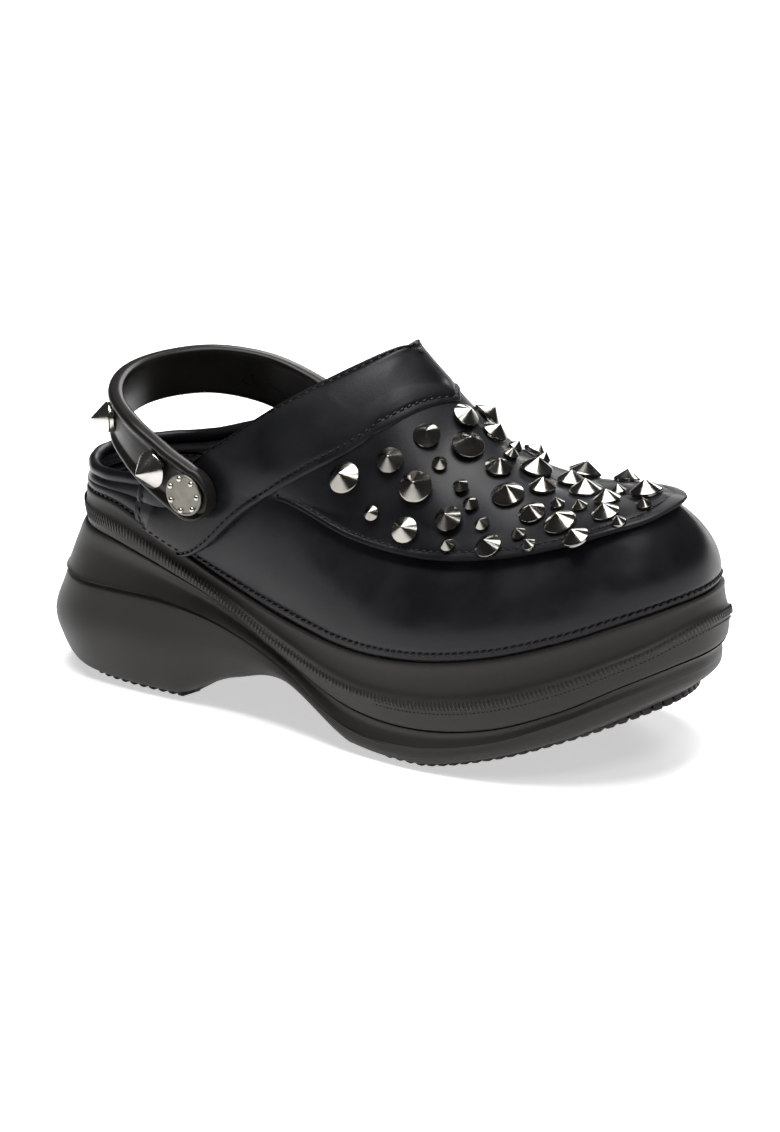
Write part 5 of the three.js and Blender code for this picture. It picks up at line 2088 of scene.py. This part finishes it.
def turned(
    mesh: Mesh, profile: Sequence[tuple[float, float]], base: Vector, axis: Vector, sides: int
) -> None:
    """Spins a profile of radius and height into a closed turned form.

    Args:
        mesh: Mesh that takes it.
        profile: Radius and height pairs from the axis to the axis, in metres.
        base: Where height is zero.
        axis: Direction of the height.
        sides: Faces round it.
    """
    turn = Vector((0, 0, 1)).rotation_difference(axis).to_matrix().to_4x4()
    place = Matrix.Translation(base) @ turn
    uv = mesh.loops.layers.uv.verify()
    verts = [mesh.verts.new((radius, 0, height)) for radius, height in profile]
    edges = [mesh.edges.new(pair) for pair in zip(verts, verts[1:])]
    before = set(mesh.faces)
    bmesh.ops.spin(
        mesh, geom=[*verts, *edges], cent=(0, 0, 0), axis=(0, 0, 1), angle=TAU, steps=sides, use_merge=True
    )
    faces = [f for f in mesh.faces if f not in before]
    made = {v for f in faces for v in f.verts}
    top = max(height for _, height in profile)
    for face in faces:
        middle = math.atan2(face.calc_center_median().y, face.calc_center_median().x)
        for loop in face.loops:
            at = loop.vert.co
            angle = math.atan2(at.y, at.x) if at.xy.length > 1e-7 else middle
            angle += TAU * round((middle - angle) / TAU)
            loop[uv].uv = (angle / TAU, at.z / top)
    bmesh.ops.transform(mesh, matrix=place, verts=list(made))


@dataclass
class Metal:
    """Studs of the apron, spikes of the strap and its rivets."""

    shop: Workshop
    nodes: dict[str, bpy.types.Object]
    studs: int = 45
    spikes: int = 4
    domes: int = 7
    dome: float = 1.15
    dome_ring: float = 0.78
    collar: float = 4.7
    neck: float = 0.953
    cap: float = 5.5

    def build(self) -> None:
        """All metal."""
        self._studs()
        self._spikes()
        for side in ("lateral", "medial"):
            self._rivet(side)

    def _studs(self) -> None:
        """Cones on the apron, each with a fine foot."""
        mesh = bmesh.new()
        names = [f"stud_{i + 1}" for i in range(self.studs)]
        for name in names:
            cone = cone_of(self.nodes[name])
            radius, height = cone.radius, cone.height
            base = cone.base - cone.axis * 0.5 * MM
            foot = 0.5 * MM
            turned(
                mesh,
                [
                    (0, 0), (radius * 0.94, 0), (radius * 0.94, foot + 0.15 * MM),
                    (radius * 0.99, foot + 0.3 * MM), (radius, foot + 0.5 * MM),
                    *cone_side(radius * 0.985, foot + 0.66 * MM, height + foot),
                ],
                base,
                cone.axis,
                32,
            )
        bmesh.ops.remove_doubles(mesh, verts=mesh.verts, dist=1e-6)
        self.shop.piece("apron_studs", mesh, DARK_NICKEL, Slot.GUNMETAL, names, sharp=28)

    def _spikes(self) -> None:
        """Longer cones on short collars, each with a smooth cap inside the strap."""
        metal, caps = bmesh.new(), bmesh.new()
        names = [f"strap_spike_{i + 1}" for i in range(self.spikes)]
        for name in names:
            cone = cone_of(self.nodes[name])
            top, radius = cone.height, cone.radius
            collar, neck = self.collar * MM, radius * self.neck
            turned(
                metal,
                [
                    (0, collar), (neck, collar), (neck, collar + 1.35 * MM),
                    (radius * 0.985, collar + 1.55 * MM), (radius, collar + 1.8 * MM),
                    *cone_side(radius * 0.985, collar + 2.0 * MM, top),
                ],
                cone.base,
                cone.axis,
                56,
            )
            cap = self.cap * MM
            turned(
                caps,
                [
                    (0, 1.2 * MM), (cap, 1.2 * MM), (cap, 0.35 * MM), (cap * 0.95, 0.1 * MM),
                    (cap * 0.86, 0), (cap * 0.8, 0.22 * MM), (cap * 0.74, 0), (0, 0),
                ],
                cone.base,
                cone.axis,
                48,
            )
        for mesh in (metal, caps):
            bmesh.ops.remove_doubles(mesh, verts=mesh.verts, dist=1e-6)
        self.shop.piece("strap_spikes", metal, BRIGHT_NICKEL, Slot.GUNMETAL, names, sharp=28)
        self.shop.piece("spike_caps", caps, STRAP_FOAM, Slot.STRAP, sharp=28)

    def _rivet(self, side: str) -> None:
        """Button with small domes near its rim, post and inner cap.

        Args:
            side: lateral or medial.
        """
        node = f"rivet_{side}"
        low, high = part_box(node)
        centre = (low + high) / 2
        sign = math.copysign(1, centre.y)
        axis = Vector((0, sign, 0))
        radius = (high.x - low.x) / 2
        length = high.y - low.y
        base = Vector((centre.x, low.y if sign > 0 else high.y, centre.z))
        mesh = bmesh.new()
        turned(
            mesh,
            [
                (0, 0), (5.4 * MM, 0), (6 * MM, 0.5 * MM), (6 * MM, 1.6 * MM), (2.8 * MM, 1.6 * MM),
                (2.8 * MM, length - 2 * MM), (radius * 0.97, length - 2 * MM),
                (radius, length - 1.7 * MM), (radius, length - 1.0 * MM),
                (radius * 0.97, length - 0.7 * MM), (radius * 0.9, length - 0.62 * MM),
                (radius * 0.87, length - 0.75 * MM), (radius * 0.8, length - 0.78 * MM),
                (0, length - 0.72 * MM),
            ],
            base,
            axis,
            72,
        )
        bmesh.ops.remove_doubles(mesh, verts=mesh.verts, dist=1e-6)
        self.shop.piece(f"{node}_button", mesh, SATIN_NICKEL, Slot.NICKEL, [node], sharp=30)
        domes = bmesh.new()
        for i in range(self.domes):
            angle = TAU * i / self.domes
            spot = base + axis * (length - 0.85 * MM)
            spot += Vector((math.cos(angle), 0, math.sin(angle))) * radius * self.dome_ring
            place = Matrix.Translation(spot)
            bmesh.ops.create_uvsphere(
                domes, u_segments=20, v_segments=12, radius=self.dome * MM, matrix=place
            )
        self.shop.piece(f"{node}_domes", domes, BRIGHT_NICKEL, Slot.NICKEL, sharp=60)


@dataclass(frozen=True)
class View:
    """The photograph's camera, in the form's own place."""

    azimuth: float = 36
    elevation: float = 19
    roll: float = -2
    distance: float = 2000
    aim: tuple[float, float, float] = (0, 0, 60)
    focal_pixels: float = 5420
    picture: tuple[int, int] = (780, 1132)
    aim_pixel: tuple[float, float] = (391, 553.5)
    sensor: float = 36

    def build(self, shop: Workshop) -> None:
        """Places the camera.

        Args:
            shop: Where the form stands in the frame.
        """
        a, e, r = (math.radians(x) for x in (self.azimuth, self.elevation, self.roll))
        back = Vector((math.sin(a) * math.cos(e), -math.cos(a) * math.cos(e), math.sin(e)))
        right = Vector((math.cos(a), math.sin(a), 0))
        up = back.cross(right)
        turned_right = right * math.cos(r) + up * math.sin(r)
        turned_up = up * math.cos(r) - right * math.sin(r)
        data = bpy.data.cameras.new("camera")
        camera = bpy.data.objects.new("camera", data)
        bpy.context.scene.collection.objects.link(camera)
        aim = Vector(shop.metres(np.array([self.aim]))[0])
        basis = Matrix((turned_right, turned_up, back)).transposed().to_4x4()
        camera.matrix_world = Matrix.Translation(aim + back * self.distance * MM) @ basis
        long_side = max(self.picture)
        data.sensor_width = self.sensor
        data.lens = self.focal_pixels / long_side * self.sensor
        data.shift_x = (self.picture[0] / 2 - self.aim_pixel[0]) / long_side
        data.shift_y = (self.aim_pixel[1] - self.picture[1] / 2) / long_side
        data.clip_start, data.clip_end = 0.05, 30
        bpy.context.scene.camera = camera


@dataclass(frozen=True)
class Lamp:
    """A soft box. place and target are in metres, size is its width and height."""

    name: str
    place: tuple[float, float, float]
    target: tuple[float, float, float]
    size: tuple[float, float]
    power: float

    def build(self) -> None:
        """Hangs the soft box."""
        data = bpy.data.lights.new(self.name, "AREA")
        data.shape = "RECTANGLE"
        data.size, data.size_y = self.size
        data.energy = self.power
        lamp = bpy.data.objects.new(self.name, data)
        bpy.context.scene.collection.objects.link(lamp)
        lamp.location = self.place
        way = Vector(self.target) - Vector(self.place)
        lamp.rotation_mode = "QUATERNION"
        lamp.rotation_quaternion = way.to_track_quat("-Z", "Y")


LAMPS = (
    Lamp("top_box", (0.0, 0.0, 1.7), (0, 0, 0.05), (1.3, 1.2), 52),
    Lamp("back_box", (-0.5, 1.8, 1.1), (0, 0, 0.06), (1.2, 0.6), 18),
    Lamp("front_box", (1.1, -0.5, 1.5), (0, 0, 0.06), (0.5, 0.5), 5),
)


ROOM_LIGHT = 0.05
FLOOR_GLOW = 0.56


def studio() -> None:
    """Pale floor, soft boxes and a dim room."""
    scene = bpy.context.scene
    scene.view_settings.view_transform = "Standard"
    world = bpy.data.worlds.new("room")
    scene.world = world
    world.use_nodes = True
    background = world.node_tree.nodes["Background"]
    background.inputs["Color"].default_value = (1, 1, 1, 1)
    background.inputs["Strength"].default_value = ROOM_LIGHT
    mesh = bmesh.new()
    bmesh.ops.create_grid(mesh, x_segments=1, y_segments=1, size=12)
    data = bpy.data.meshes.new("floor")
    mesh.to_mesh(data)
    mesh.free()
    floor = bpy.data.objects.new("floor", data)
    scene.collection.objects.link(floor)
    paper = bpy.data.materials.new("pale_paper")
    paper.use_nodes = True
    shader = paper.node_tree.nodes["Principled BSDF"]
    shader.inputs["Base Color"].default_value = (0.9, 0.9, 0.9, 1)
    shader.inputs["Roughness"].default_value = 0.9
    shader.inputs["Specular IOR Level"].default_value = 0.0
    shader.inputs["Emission Color"].default_value = (1, 1, 1, 1)
    shader.inputs["Emission Strength"].default_value = FLOOR_GLOW
    data.materials.append(paper)
    floor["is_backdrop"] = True
    for lamp in LAMPS:
        lamp.build()


def place_of(shape: Shape) -> Vector:
    """From the form's own origin to the frame's.

    Args:
        shape: Form of the shoe.

    Returns:
        The shift, in millimetres, that lays the heel's back and both sides on the solid's.
    """
    station = np.arange(0, ROUND, 0.5)
    names = ("bulge", "strake", "ridge")
    rings = [shape.ring(station, shape.column(name, station), 0) for name in names]
    points = np.vstack(rings)
    low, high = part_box("midsole")
    middle = (points.min(0) + points.max(0)) / 2
    return Vector(((low.x + high.x) / 2 / MM - middle[0], (low.y + high.y) / 2 / MM - middle[1], 0))


def corners() -> list[list[float]]:
    """Lowest and highest corner of what is shown."""
    return [list(corner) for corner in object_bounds()]


def main() -> None:
    """Builds the shoe piece by piece."""
    logging.basicConfig(level=logging.INFO, format="%(name)s %(message)s")
    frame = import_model()
    shape = Shape(SIZES)
    shop = Workshop(shape, place_of(shape))
    LOG.info("form stands at %s mm", [round(float(x), 2) for x in shop.shift])
    View().build(shop)
    studio()
    Sole(shop).build()
    Treads(shop).build()
    Footbed(shop).build()
    Leather(shop).build()
    HeelStrap(shop).build()
    Metal(shop, frame["nodes"]).build()


if __name__ == "__main__":
    main()
